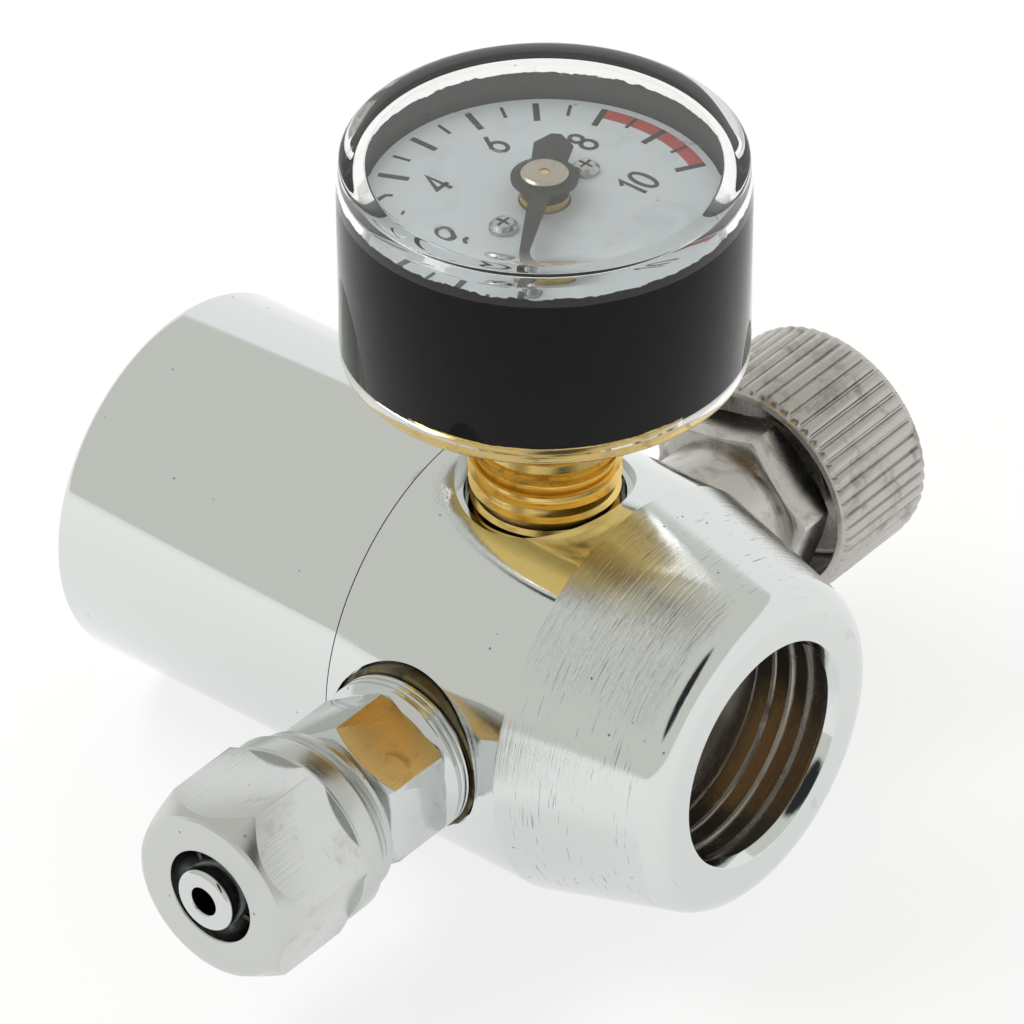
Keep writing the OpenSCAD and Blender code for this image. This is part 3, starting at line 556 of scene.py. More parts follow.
def outline(points, closed=True):
    """(radius, along[, corner radius]) points; corners with a radius become short arcs."""
    done = []
    count = len(points)
    for i, point in enumerate(points):
        here = Vector(point[:2])
        if len(point) < 3 or (not closed and i in (0, count - 1)):
            done.append(tuple(here))
            continue
        before = Vector(points[i - 1][:2]) - here
        after = Vector(points[(i + 1) % count][:2]) - here
        angle = before.angle(after)
        reach = min(point[2] / math.tan(angle / 2), before.length * 0.49, after.length * 0.49)
        radius = reach * math.tan(angle / 2)
        middle = here + (before.normalized() + after.normalized()).normalized() * (
            radius / math.sin(angle / 2))
        first = here + before.normalized() * reach - middle
        turned_by = math.pi - angle
        side = 1 if first.cross(here + after.normalized() * reach - middle) > 0 else -1
        for k in range(ARC_STEPS + 1):
            spin = Matrix.Rotation(side * turned_by * k / ARC_STEPS, 2)
            done.append(tuple(middle + spin @ first))
    return done


# %% [markdown]
# The lathe spins an outline. Every mesh made by hand leaves through `as_object`, which turns the
# faces of a closed shape outwards.

# %% Lathe work


def lathe(name, points, axis="z", segments=192, closed=True):
    """Spins an outline round an axis; a closed one is a ring, an open one ends on the axis."""
    work = bmesh.new()
    rings = []
    for radius, along in points:
        if radius < 1e-6:
            rings.append([work.verts.new((0, 0, along))])
            continue
        rings.append([work.verts.new((radius * math.cos(a), radius * math.sin(a), along))
                      for a in (2 * math.pi * k / segments for k in range(segments))])
    for a, b in zip(rings, rings[1:] + (rings[:1] if closed else [])):
        for k in range(segments):
            n = (k + 1) % segments
            corners = [a[k % len(a)], a[n % len(a)], b[n % len(b)], b[k % len(b)]]
            corners = list(dict.fromkeys(corners))
            if len(corners) > 2:
                work.faces.new(corners)
    bmesh.ops.recalc_face_normals(work, faces=work.faces)
    work.transform(AXES[axis])
    return as_object(name, work)


def strip(work, rings):
    """Joins equal rings of points to one closed skin, capped at both ends."""
    for a, b in zip(rings, rings[1:]):
        for k in range(len(a)):
            n = (k + 1) % len(a)
            work.faces.new([a[k], a[n], b[n], b[k]])
    work.faces.new(rings[0][::-1])
    work.faces.new(rings[-1])
    bmesh.ops.recalc_face_normals(work, faces=work.faces)


def as_object(name, work):
    """A new object from a bmesh, with the normals of a closed shape turned outwards."""
    if work.faces and work.calc_volume(signed=True) < 0:
        bmesh.ops.reverse_faces(work, faces=work.faces)
    mesh = bpy.data.meshes.new(name)
    work.to_mesh(mesh)
    work.free()
    return placed(name, mesh)


# %% [markdown]
# Holes and flats are cut from the solid, as in a workshop. Each cut is a modifier whose result
# becomes the plain mesh at once.

# %% Cutting


def baked(piece):
    """Turns what a piece's modifiers make into its plain mesh."""
    bpy.context.view_layer.update()
    ready = piece.evaluated_get(bpy.context.evaluated_depsgraph_get())
    mesh = bpy.data.meshes.new_from_object(ready)
    piece.modifiers.clear()
    old, piece.data = piece.data, mesh
    bpy.data.meshes.remove(old)
    return piece


def carve(piece, tool, operation="DIFFERENCE"):
    """Cuts a piece with another one, which is used up."""
    cut = piece.modifiers.new("carve", "BOOLEAN")
    cut.object, cut.operation, cut.solver = tool, operation, "EXACT"
    baked(piece)
    bpy.data.objects.remove(tool)
    return piece


def rod(low, high, radius, axis, segments=96, at=(0, 0)):
    """A plain round tool between two places on an axis."""
    tool = lathe("tool", [(0, low), (radius, low), (radius, high), (0, high)], axis, segments,
                 closed=False)
    tool.data.transform(AXES[axis] @ Matrix.Translation((*at, 0)) @ AXES[axis].inverted())
    return tool


def hexagonal(name, points, flats, angle, axis):
    """A turned ring whose outside is cut to six flats, edges lightly broken."""
    piece = lathe(name, points, axis)
    low, high = min(p[1] for p in points) - 1, max(p[1] for p in points) + 1
    work = bmesh.new()
    reach = flats / math.sqrt(3)
    strip(work, [[work.verts.new((reach * math.cos(a), reach * math.sin(a), z))
                  for a in (math.radians(angle + 60 * k) for k in range(6))]
                 for z in (low, high)])
    work.transform(AXES[axis])
    carve(piece, as_object("prism", work), "INTERSECT")
    soften = piece.modifiers.new("soften", "BEVEL")
    soften.width, soften.segments, soften.limit_method = 0.09, 2, "ANGLE"
    soften.angle_limit = math.radians(24)
    return baked(piece)


# %% [markdown]
# Finished parts are joined, painted and handed over to the frame: each is put in metres, shaded
# smooth and parented to the body it moves with, and the CAD nodes it stands for are hidden.

# %% Joining and handing over


def joined(*pieces):
    """Makes one object of several, in the first one's name."""
    first = pieces[0]
    work = bmesh.new()
    materials = []
    for piece in pieces:
        offset = len(materials)
        materials += list(piece.data.materials)
        start = len(work.faces)
        work.from_mesh(piece.data)
        work.faces.ensure_lookup_table()
        for face in work.faces[start:]:
            face.material_index += offset
    mesh = bpy.data.meshes.new(first.name)
    work.to_mesh(mesh)
    work.free()
    for material in materials:
        mesh.materials.append(material)
    first.data = mesh
    for piece in pieces[1:]:
        bpy.data.objects.remove(piece)
    return first


def painted(piece, *materials):
    """Gives a piece its finishes, the first one everywhere."""
    piece.data.materials.clear()
    for material in materials:
        piece.data.materials.append(material)
    return piece


def hand_over(piece, body, stands_for=(), crease=28):
    """Puts a finished piece into the frame: metres, smooth shading, body; hides the nodes it stands
    for.
    """
    piece.data.transform(PLACE)
    piece.data.shade_smooth()
    piece.data.set_sharp_from_angle(angle=math.radians(crease))
    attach(piece, body)
    if stands_for:
        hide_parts(*stands_for)
    print(piece.name, len(piece.data.polygons), "faces, on", body)


# %% [markdown]
# ## What repeats or winds
# Threads, ribs and dial marks follow rules, so Geometry Nodes make them. Each tree ends the same
# way: the shape is made real, given its finish and passed on.

# %% Geometry Nodes: shared start and end


def tree_with(name, **inputs):
    """A Geometry Nodes tree with Geometry in and out and named inputs."""
    tree = bpy.data.node_groups.new(name, "GeometryNodeTree")
    for way in ("INPUT", "OUTPUT"):
        tree.interface.new_socket("Geometry", in_out=way, socket_type="NodeSocketGeometry")
    for key, value in inputs.items():
        kind = {int: "Int", float: "Float", str: "Material"}[type(value)]
        socket = tree.interface.new_socket(key.replace("_", " "), in_out="INPUT",
                                           socket_type="NodeSocket" + kind)
        if kind != "Material":
            socket.default_value = value
    return tree, tree.nodes.new("NodeGroupInput"), tree.nodes.new("NodeGroupOutput")


def deliver(tree, given, result, shape):
    """Makes the shape real, gives it the Finish material and passes it on."""
    real = add(tree, "GeometryNodeRealizeInstances", i0=shape)
    plug(tree, result, 0, add(tree, "GeometryNodeSetMaterial", i0=real,
                              Material=(given, "Finish")))
    print(tree.name + ":", len(tree.nodes), "nodes")


def grow(piece, tree, **inputs):
    """Runs a tree on a piece with inputs set by name, and keeps the result as its mesh."""
    step = piece.modifiers.new(tree.name, "NODES")
    step.node_group = tree
    sockets = {s.name: s.identifier for s in tree.interface.items_tree
               if s.item_type == "SOCKET" and s.in_out == "INPUT"}
    for key, value in inputs.items():
        step[sockets[key.replace("_", " ")]] = value
    return baked(piece)


# %% [markdown]
# "helical ridge" sweeps a four-sided section along a spiral curve. With a negative depth the ridge
# points inwards, as in a nut.

# %% Geometry Nodes: helical ridge
helical, given, result = tree_with(
    "helical ridge", Turns=5.0, Pitch=1.0, Root_radius=4.0, Depth=0.6, Root_width=0.9,
    Crest_width=0.15, Start=0.0, Steps=72, Finish="material")
tree = helical
spiral = add(tree, "GeometryNodeCurveSpiral", Resolution=(given, "Steps"),
             Rotations=(given, "Turns"), Start_Radius=(given, "Root radius"),
             End_Radius=(given, "Root radius"),
             Height=times(tree, (given, "Turns"), (given, "Pitch")))
level = add(tree, "GeometryNodeSetCurveNormal", i0=spiral)
section = add(tree, "GeometryNodeCurvePrimitiveQuadrilateral", mode="POINTS")
corner_rule = ((0.0, "Root width", -0.5), (1.0, "Crest width", -0.5),
               (1.0, "Crest width", 0.5), (0.0, "Root width", 0.5))
for i, (rise, width, side) in enumerate(corner_rule):
    plug(tree, section, f"Point {i + 1}",
         add(tree, "CombineXYZ", i0=times(tree, (given, "Depth"), rise),
             i1=times(tree, (given, width), side)))
sweep = add(tree, "GeometryNodeCurveToMesh", i0=level, i1=section, Fill_Caps=True)
lift = add(tree, "GeometryNodeTransform", i0=sweep,
           Translation=add(tree, "CombineXYZ", i2=(given, "Start")))
deliver(tree, given, result, lift)


def thread(name, axis, finish, **sizes):
    """A helical ridge along an axis, its faces turned outwards."""
    piece = grow(as_object(name, bmesh.new()), helical, Finish=finish, **sizes)
    work = bmesh.new()
    work.from_mesh(piece.data)
    bmesh.ops.recalc_face_normals(work, faces=work.faces)
    if work.calc_volume(signed=True) < 0:
        bmesh.ops.reverse_faces(work, faces=work.faces)
    work.transform(AXES[axis])
    work.to_mesh(piece.data)
    work.free()
    return piece


# %% [markdown]
# "copies round an axis" takes the piece's own mesh and sets turned copies of it round Z.

# %% Geometry Nodes: copies round an axis
copies, given, result = tree_with(
    "copies round an axis", Count=12, First_angle=0.0, Step_angle=0.5, Finish="material")
tree = copies
places = add(tree, "GeometryNodePoints", Count=(given, "Count"))
angle = calc(tree, "ADD", (given, "First angle"),
             times(tree, add(tree, "GeometryNodeInputIndex"), (given, "Step angle")))
turned = add(tree, "FunctionNodeEulerToRotation", i0=add(tree, "CombineXYZ", i2=angle))
stamp = add(tree, "GeometryNodeInstanceOnPoints", Points=places,
            Instance=(given, "Geometry"), Rotation=turned)
deliver(tree, given, result, stamp)

# %% [markdown]
# "ragged edges" pushes the points near two heights up and down by noise, like paint that was never
# masked off.

# %% Geometry Nodes: ragged edges
ragged, given, result = tree_with(
    "ragged edges", Low_edge=0.0, High_edge=1.0, Reach=1.0, Low_amount=0.2, High_amount=0.6,
    Flake_size=0.8, Seed=3.0, Finish="material")
tree = ragged
split = add(tree, "SeparateXYZ", i0=add(tree, "GeometryNodeInputPosition"))
flat = add(tree, "CombineXYZ", i0=(split, 0), i1=(split, 1))
flakes = add(tree, "TexNoise", noise_dimensions="4D", Vector=flat, Scale=(given, "Flake size"),
             W=(given, "Seed"), Detail=5.0, Roughness=0.7)
swing = calc(tree, "SUBTRACT", flakes, 0.5)
moves = []
for end in ("Low", "High"):
    apart = calc(tree, "ABSOLUTE", calc(tree, "SUBTRACT", (split, 2), (given, end + " edge")))
    near = calc(tree, "SUBTRACT", 1.0, calc(tree, "DIVIDE", apart, (given, "Reach")))
    moves.append(times(tree, calc(tree, "MAXIMUM", near, 0.0), swing,
                       (given, end + " amount")))
offset = add(tree, "CombineXYZ", i2=calc(tree, "ADD", *moves))
deliver(tree, given, result, add(tree, "GeometryNodeSetPosition",
                                   Geometry=(given, "Geometry"), Offset=offset))

# %% [markdown]
# ## The body
# One bar of brass was turned, drilled and plated. Its outline is a cylinder, a taper and a rounded
# rim round the threaded mouth. Its rear end has a narrow shoulder round the spring bonnet.

# %% Body: turned outline
body_r = span("body", 2)[1]
nose_x = span("body", 0)[1]
cap_front = span("spring_cap", 0)[1]
cap_r = span("spring_cap", 2)[1]
seam_x = cap_front + 0.15
nose_r, rim_round, seam_round = 10.75, 1.9, 0.15
mouth_r, bore_r, root_r, socket_r, port_r, piston_r = 7.57, 7.17, 7.94, 10.6, 4.9, 8.6
thread_first, thread_last = nose_x - 0.7, nose_x - 8.3
slope = math.atan((body_r - nose_r) / (nose_x - taper_x))
rim_x = nose_x - rim_round
rim_r = nose_r + rim_round * math.tan(slope) - rim_round / math.cos(slope)
rim = [(rim_r + rim_round * math.cos(a), rim_x + rim_round * math.sin(a))
       for a in (slope + (math.pi / 2 - slope) * k / 12 for k in range(13))]
body_points = outline(
    [(socket_r, seam_x), (cap_r + 0.12, seam_x), (body_r, seam_x, seam_round),
     (body_r, taper_x, 0.15)] + rim
    + [(mouth_r, nose_x, 0.12), (bore_r, thread_first, 0.05), (root_r, thread_first - 0.35),
       (root_r, thread_last), (6.65, thread_last), (6.65, thread_last - 1.0),
       (4.2, thread_last - 1.0), (4.2, 2.5), (2.3, 2.5), (2.3, seam_x + 0.4),
       (piston_r, seam_x + 0.4), (piston_r, seam_x - 6), (socket_r, seam_x - 6)])
body = lathe("regulator_body", body_points, "x", 256)
print("body outline:", len(body_points), "points")

# %% [markdown]
# The gauge and both side fittings sit in flat-bottomed seats. They are cut with plain round tools,
# just as a counterbore cuts them, and each has a smaller hole in its middle.

# %% Body: seats for the gauge and the side fittings
gauge_seat_r, stem_hole_r, side_seat_r = 5.6, 5.05, 5.7
gauge_seat_z = math.sqrt(body_r ** 2 - gauge_seat_r ** 2) - 0.2
side_seat_y = math.sqrt(body_r ** 2 - side_seat_r ** 2) - 0.05
SIDE_SEAT = side_seat_y, side_seat_r, 6.5, port_r
for side, seat, seat_r, hole, hole_r in (
        ("z", gauge_seat_z, gauge_seat_r, 8.0, stem_hole_r), ("y", *SIDE_SEAT), ("-y", *SIDE_SEAT)):
    carve(body, rod(seat, body_r + 2, seat_r, side))
    carve(body, rod(hole, body_r + 2, hole_r, side))
print("body after its seats:", len(body.data.polygons), "faces")

# %% [markdown]
# The inlet thread is a coarse 18-to-the-inch ridge that winds inwards. The bore's wall is the
# thread's root, and the ridge stands on it. The plating bath hardly reaches in, so thread and bore
# get their own metal in two copies. The bore's copy is darker than the plated outside, bare metal
# with painted shade, and the ridge's copy is lighter, a painted highlight on the ridge. The faces
# in the seam and the body's rounded rim beside it are painted near-black, painted shade for the
# dark line of the gap.

# %% Body: inlet thread
painted(body, body_chrome, thread_metal, seam_grime)
for face in body.data.polygons:
    x, y, z = face.center
    reach = math.hypot(y, z)
    in_seam = x < seam_x + 0.01 and reach < cap_r
    on_edge = x < seam_x + seam_round and reach > body_r - seam_round
    # The seam's faces and the body's rounded rim beside it get the near-black painted shade.
    if in_seam or on_edge:
        face.material_index = 2
    # The bore gets the darker copy: bare metal with painted shade.
    if reach < bore_r + 0.8 and 0 < x < thread_first - 0.1:
        face.material_index = 1
pitch = 25.4 / 18
turns = (thread_first - thread_last - 0.25) / pitch
inlet_thread = thread("inlet_thread", "x", crest_metal_and_highlight, Turns=turns, Pitch=pitch,
                      Root_radius=root_r + 0.05, Depth=bore_r - root_r - 0.05, Root_width=0.92,
                      Crest_width=0.34, Start=thread_last + 0.12, Steps=120)
hand_over(body, "housing", ("body",))
hand_over(inlet_thread, "housing", crease=20)

# %% [markdown]
# ## Spring bonnet
# The long cylinder behind the seam holds the spring. Its rear face carries the preset screw and a
# small vent hole. The seam to the body shows as one thin dark line.

# %% Spring bonnet and its screw
cap_rear = span("spring_cap", 0)[0]
screw_hole_r, chamber_r, cap_socket_r, end_wall = 3.05, 10.0, 10.65, 3
vent_r, vent_at = 0.75, (0, 7.8)
bonnet = lathe("spring_bonnet", outline([
    (screw_hole_r, cap_rear, 0.1), (cap_r, cap_rear, 0.6), (cap_r, cap_front, 0.12),
    (cap_socket_r, cap_front), (cap_socket_r, seam_x - 6.6), (chamber_r, seam_x - 6.6),
    (chamber_r, cap_rear + end_wall), (screw_hole_r, cap_rear + end_wall)]), "x", 256)
carve(bonnet, rod(cap_rear - 1, cap_rear + end_wall + 1, vent_r, "x", 48, at=vent_at))
# The bonnet's front face, in the seam, gets the near-black painted shade.
painted(bonnet, chrome_x, seam_grime)
for face in bonnet.data.polygons:
    if face.center.x > cap_front - 0.01:
        face.material_index = 1
hand_over(bonnet, "housing", ("spring_cap",))
screw_low, screw_high = span("preset_screw", 0)
core_r, key_r = 2.75, 3 / math.sqrt(3)
preset = lathe("preset_screw", outline([
    (0, screw_low), (core_r, screw_low, 0.2), (core_r, screw_high), (0, screw_high)], False),
    "x", 96, closed=False)
socket = bmesh.new()
bmesh.ops.create_cone(socket, cap_ends=True, segments=6, radius1=key_r, radius2=key_r, depth=4)
socket.transform(AXES["x"] @ Matrix.Translation((0, 0, screw_low)))
carve(preset, as_object("tool", socket))
preset_thread = thread("preset_thread", "x", steel_x, Turns=screw_high - screw_low - 1.2,
                       Pitch=1.0, Root_radius=2.7, Depth=0.3, Root_width=0.86, Crest_width=0.14,
                       Start=screw_low + 0.6)
hand_over(joined(painted(preset, steel_x), preset_thread), "preset", ("preset_screw",))

# %% [markdown]
# ## Hose fitting
# A collar, a hexagon and a nipple are one piece, screwed into the body over a dark ring. One flat
# of the hexagon was milled after plating, so bare brass shows there.

# %% Outlet ring and fitting


def outward(node):
    """Near and far distance of a node along -Y."""
    low, high = span(node, 1)
    return -high, -low


ring_low, ring_high = outward("outlet_gasket")
hand_over(painted(lathe("outlet_ring", outline([
    (4.9, ring_low), (5.58, ring_low, 0.1), (5.58, ring_high, 0.2), (5.2, ring_high + 0.02),
    (4.9, ring_high)]), "-y"), ring_metal), "housing", ("outlet_gasket",))
FITTING_FLATS, FITTING_TURN, NUT_FLATS, NUT_TURN = 9.3, 32, 11.4, 10
collar_y = ring_high + 0.05
hex_y, hex_end = collar_y + 1.75, collar_y + 6.95
nut_low, nut_high = outward("compression_nut")
nipple_end = outward("outlet_fitting")[1]
barb = nut_high - 4.2
fitting = lathe("hose_fitting", outline([
    (0.95, ring_low - 4.7), (4.85, ring_low - 4.7), (4.85, collar_y), (5.3, collar_y, 0.1),
    (5.3, collar_y + 0.35, 0.08), (5.17, collar_y + 0.43), (5.3, collar_y + 0.51, 0.08),
    (5.3, collar_y + 0.8, 0.08), (5.15, collar_y + 0.9), (5.3, collar_y + 1.0, 0.08),
    (5.3, hex_y - 0.4, 0.15), (4.75, hex_y + 0.05, 0.1), (4.3, hex_y + 0.1), (4.3, hex_end),
    (4.35, barb), (2.4, barb + 1.6, 0.2), (1.95, barb + 1.6, 0.1), (1.95, nipple_end - 1.9),
    (2.1, nipple_end - 1.9, 0.1), (2.1, nipple_end, 0.35), (0.95, nipple_end, 0.15)]), "-y")
hexagon = hexagonal("fitting_hexagon", outline([
    (4.2, hex_y), (5.12, hex_y), (5.37, hex_y + 0.2), (5.4, hex_end - 0.7), (4.45, hex_end, 0.1),
    (4.2, hex_end)]), FITTING_FLATS, FITTING_TURN, "-y")
painted(hexagon, hex_flats, milled_brass)
milled = math.radians(FITTING_TURN + 30)
bare = AXES["-y"].to_3x3() @ Vector((math.cos(milled), math.sin(milled), 0))
for face in hexagon.data.polygons:
    if face.normal.dot(bare) > 0.995:
        face.material_index = 1
hand_over(joined(painted(fitting, chrome_y), hexagon), "housing", ("outlet_fitting",))

# %% [markdown]
# The compression nut pushes the hose onto the nipple. Its round skirt carries two shallow grooves,
# and its hexagon ends in a wide chamfer, so each flat has the curved edge that a chamfered nut has.

# %% Compression nut
band_r = NUT_FLATS / 2 + 0.45
skirt = lathe("nut_skirt", outline([
    (4.6, nut_low), (band_r - 0.9, nut_low, 0.1), (band_r - 0.55, nut_low + 0.35, 0.1),
    (band_r - 0.55, nut_low + 0.65), (band_r - 0.75, nut_low + 0.8, 0.1),
    (band_r - 0.5, nut_low + 0.95), (band_r - 0.38, nut_low + 1.2),
    (band_r - 0.58, nut_low + 1.35, 0.1), (band_r - 0.3, nut_low + 1.5),
    (band_r, nut_low + 1.95, 0.2), (band_r, nut_low + 3.5, 0.2), (4.6, nut_low + 3.5)]), "-y")
nut = hexagonal("compression_nut_hex", outline([
    (4.45, nut_low + 1.9), (5.6, nut_low + 1.9), (5.7, nut_low + 3.1), (6.6, nut_low + 3.8),
    (6.6, nut_high - 1.9), (5.55, nut_high - 0.15, 0.2), (5.25, nut_high, 0.2),
    (3.13, nut_high, 0.15), (3.13, barb + 1.7), (4.45, barb + 0.4)]), NUT_FLATS, NUT_TURN, "-y")
painted(nut, nut_flats, nut_turned)
for face in nut.data.polygons:
    if abs(face.normal.y) > 0.2:
        face.material_index = 1
nut = joined(nut, painted(skirt, nut_turned))
nut.name = "compression_nut_piece"
hand_over(nut, "nut", ("compression_nut",))

# %% [markdown]
# ## Needle valve
# Opposite the hose, a bonnet with a slim hexagon holds the needle's stem, mostly behind the knob.

# %% Valve bonnet
ring_near, ring_far = span("bonnet_gasket", 1)
hand_over(painted(lathe("bonnet_ring", outline([
    (4.9, ring_near), (5.58, ring_near, 0.1), (5.58, ring_far, 0.15), (4.9, ring_far)]), "y"),
    rubber), "housing", ("bonnet_gasket",))
VALVE_FLATS, VALVE_TURN = 11.2, -12
neck_y = ring_far + 0.05
bonnet_near, bonnet_far = span("valve_bonnet", 1)
flats_y = neck_y + 4.707
valve = lathe("valve_bonnet_piece", outline([
    (2.48, bonnet_near), (4.85, bonnet_near, 0.3), (4.85, neck_y), (5.0, neck_y, 0.2),
    (5.0, flats_y + 0.1), (4.0, flats_y + 0.2), (4.0, flats_y + 3), (4.3, flats_y + 3.1),
    (4.3, bonnet_far, 0.3), (3.2, bonnet_far, 0.1), (3.2, flats_y - 0.1), (2.48, flats_y - 0.1)]),
    "y")
valve_hex = hexagonal("valve_hexagon", outline([
    (3.9, flats_y), (5.45, flats_y), (6.4, flats_y + 0.35), (6.4, flats_y + 2.8),
    (5.75, flats_y + 3.15), (3.9, flats_y + 3.15)]), VALVE_FLATS, VALVE_TURN, "y")
hand_over(joined(painted(valve, nickel), painted(valve_hex, nickel)), "housing",
          ("valve_bonnet",))

# %% [markdown]
# The knob's edge was rolled with a straight knurl: fifty round-backed ribs that run along its axis.
# One rib is modelled with tapered ends, and Geometry Nodes sets fifty copies of it round the axis.

# %% Knob
knob_near, knob_far = span("knob", 1)
knob_r, valley_r, RIBS = 7.8, 7.5, 50
half_rib = math.radians(3.35)
core = lathe("knob_core", outline([
    (6.92, knob_near, 0.12), (7.42, knob_near, 0.12), (7.54, knob_near + 0.35),
    (7.54, knob_far - 0.55), (7.3, knob_far - 0.1, 0.1), (7.05, knob_far, 0.1),
    (2.5, knob_far, 0.12), (2.5, knob_far - 1.4), (2.02, knob_far - 1.4),
    (2.02, knob_near + 4.63), (6.92, knob_near + 4.63, 0.4)]), "z")
rib = bmesh.new()
rib_rings = []
for along, rise in ((knob_near + 0.12, 0.0), (knob_near + 0.3, 0.7), (knob_near + 0.55, 1.0),
                    (knob_far - 0.8, 1.0), (knob_far - 0.45, 0.75), (knob_far - 0.2, 0.0)):
    ring = []
    for k in range(9):
        across = (k - 4) / 4
        swing = half_rib * across
        lift = math.sqrt(max(0.0, 1 - across ** 2)) ** 0.9
        radius = valley_r + (knob_r - valley_r) * lift * rise - 0.06 * (1 - rise)
        ring.append(rib.verts.new((radius * math.cos(swing), radius * math.sin(swing), along)))
    ring.append(rib.verts.new((7.3, 0, along)))
    rib_rings.append(ring)
strip(rib, rib_rings)
ribs = grow(as_object("knob_ribs", rib), copies, Count=RIBS, First_angle=0.0,
            Step_angle=math.radians(360 / RIBS), Finish=knob_nickel)
knob = joined(painted(core, knob_nickel), ribs)
knob.name = "knurled_knob"
knob.data.transform(AXES["y"])
hand_over(knob, "knob_group", ("knob",), crease=35)

# %% [markdown]
# A slotted screw in the knob's hollow end holds it on the stem.

# %% Knob screw
head_low, head_high = knob_far - 1.35, knob_far - 0.2
screw = lathe("knob_screw_piece", outline([
    (0, head_low - 3), (1.0, head_low - 3), (1.0, head_low), (2.2, head_low, 0.1),
    (2.2, head_high, 0.25), (0, head_high)], False), "y", 96, closed=False)
slot = bmesh.new()
bmesh.ops.create_cube(slot, size=1)
slot.transform(Matrix.Translation((0, head_high, 0)) @ Matrix.Diagonal((6, 1.2, 0.5, 1)))
hand_over(painted(carve(screw, as_object("tool", slot)), steel_x), "knob_group",
          ("knob_screw",))

# %% [markdown]
# ## Gauge
# The gauge's brass foot screws into the body. Its stem is threaded, and the thread shows as fine
# bright lines above the body, inside a dark ring where the stem enters.

# %% Gauge foot and stem
foot_low = span("gauge_base", 2)[0]
foot_z = span("gauge_lens", 2)[0]
foot = lathe("gauge_foot", outline([
    (1.0, foot_low), (4.1, foot_low), (4.4, foot_low + 0.4), (4.4, foot_z - 1.3),
    (4.95, foot_z - 1.1, 0.1), (4.95, foot_z), (11.15, foot_z, 0.1), (11.15, foot_z + 0.5, 0.1),
    (10.7, foot_z + 0.55), (10.7, foot_z + 1.2), (1.0, foot_z + 1.2)]), "z", 256)
stem_thread = thread("stem_thread", "z", brass, Turns=foot_z - foot_low - 2.4, Pitch=1.0,
                     Root_radius=4.38, Depth=0.62, Root_width=0.84, Crest_width=0.2,
                     Start=foot_low + 0.6, Steps=120)
hand_over(joined(painted(foot, brass), stem_thread), "housing", ("gauge_base",))

# %% [markdown]
# The cup is one moulding of clear acrylic with a thick flat window and rounded rims. Its wall is
# open at the bottom, so it goes over the foot like a hat.

# %% Clear cup
cup_z, cup_top = span("gauge_lens", 2)
cup_r = span("gauge_lens", 0)[1]
top_r, round_r, drop, middle_r = cup_r - 0.2, 1.75, 0.6, 6.0
inner_r, window_z = cup_r - 1.3, cup_top - 1.5
band_low, band_high = span("gauge_band", 2)
shoulder = [(top_r - round_r + round_r * math.cos(a), cup_top - drop + drop * math.sin(a))
            for a in (math.pi / 2 * k / 12 for k in range(13))]
cup_points = ([(inner_r, cup_z), (cup_r - 0.2, cup_z), (cup_r - 0.06, cup_z + 0.06),
               (cup_r, cup_z + 0.3), (cup_r, band_high)] + shoulder
              + [(middle_r, cup_top), (0.0, cup_top)])
inside = [(0.0, window_z), (middle_r, window_z)] + outline(
    [(inner_r - 0.9, window_z), (inner_r - 0.5, window_z, 0.2), (inner_r, window_z - 0.5, 0.2),
     (inner_r, cup_z + 1)], False)
cup = lathe("gauge_cup", cup_points + inside, "z", 256)
painted(cup, clear, clear_wall)
for face in cup.data.polygons:
    x, y, z = face.center
    if cup_z + 0.3 < z < band_high and math.hypot(x, y) > cup_r - 0.1:
        face.material_index = 1
hand_over(cup, "housing", ("gauge_lens",), crease=50)

# %% [markdown]
# A coat of black paint on the inside of the cup hides the works. Its upper edge was never masked
# off cleanly, so it flakes and wanders; the lower edge is just as ragged. The side that faces the
# dial is dull grey. The paint wets the wall, so its outside lies 0.03 mm inside the acrylic: with
# an air gap there, the wall would mirror the room instead of showing the paint.

# %% Black coat
coat_out, coat_t = inner_r + 0.03, 0.05
levels = [band_low + (band_high - band_low) * k / 40 for k in range(41)]
coat_points = [(coat_out, z) for z in levels] + [(coat_out - coat_t, z) for z in reversed(levels)]
coat_shell = lathe("gauge_coat", coat_points, "z", 512)
grow(coat_shell, ragged, Low_edge=band_low, High_edge=band_high, Reach=1.4, Low_amount=0.5,
     High_amount=0.9, Flake_size=1.1, Seed=3.0, Finish=black_coat)
painted(coat_shell, black_coat, coat_inside)
for face in coat_shell.data.polygons:
    x, y, z = face.center
    if face.normal.x * x + face.normal.y * y < 0:
        face.material_index = 1
hand_over(coat_shell, "housing", ("gauge_band",))

# %% [markdown]
# The dial carries a scale of 0 to 10 with half steps, and a red stretch where the pressure is too
# high. Every mark is a thin raised layer of ink, because ink really stands on the plate. The
# numerals are drawn from short strokes and arcs, like a draughtsman's.

# %% Dial print: ticks
ink_t = 0.012
ink_z = span("dial_plate", 2)[1] + ink_t


def ticks(name, r_in, r_out, width, count, angle):
    """Radial marks: one that points along +X, copied round the dial."""
    work = bmesh.new()
    bmesh.ops.create_cube(work, size=1)
    work.transform(Matrix.Translation(((r_in + r_out) / 2, 0, ink_z))
                   @ Matrix.Diagonal((r_out - r_in, width, ink_t, 1)))
    return painted(grow(as_object(name, work), copies, Count=count, First_angle=angle,
                        Step_angle=step, Finish=ink_black), ink_black)


first, step = math.radians(300), math.radians(-24)
long_ticks = ticks("ticks", 8.4, 10.3, 0.4, 11, first)
short_ticks = ticks("half_ticks", 9.05, 10.2, 0.22, 10, first + step / 2)
print("ticks:", len(long_ticks.data.polygons), "faces")

# %% [markdown]
# The red stretch lies a hair lower than the black marks, as if it had been printed first.

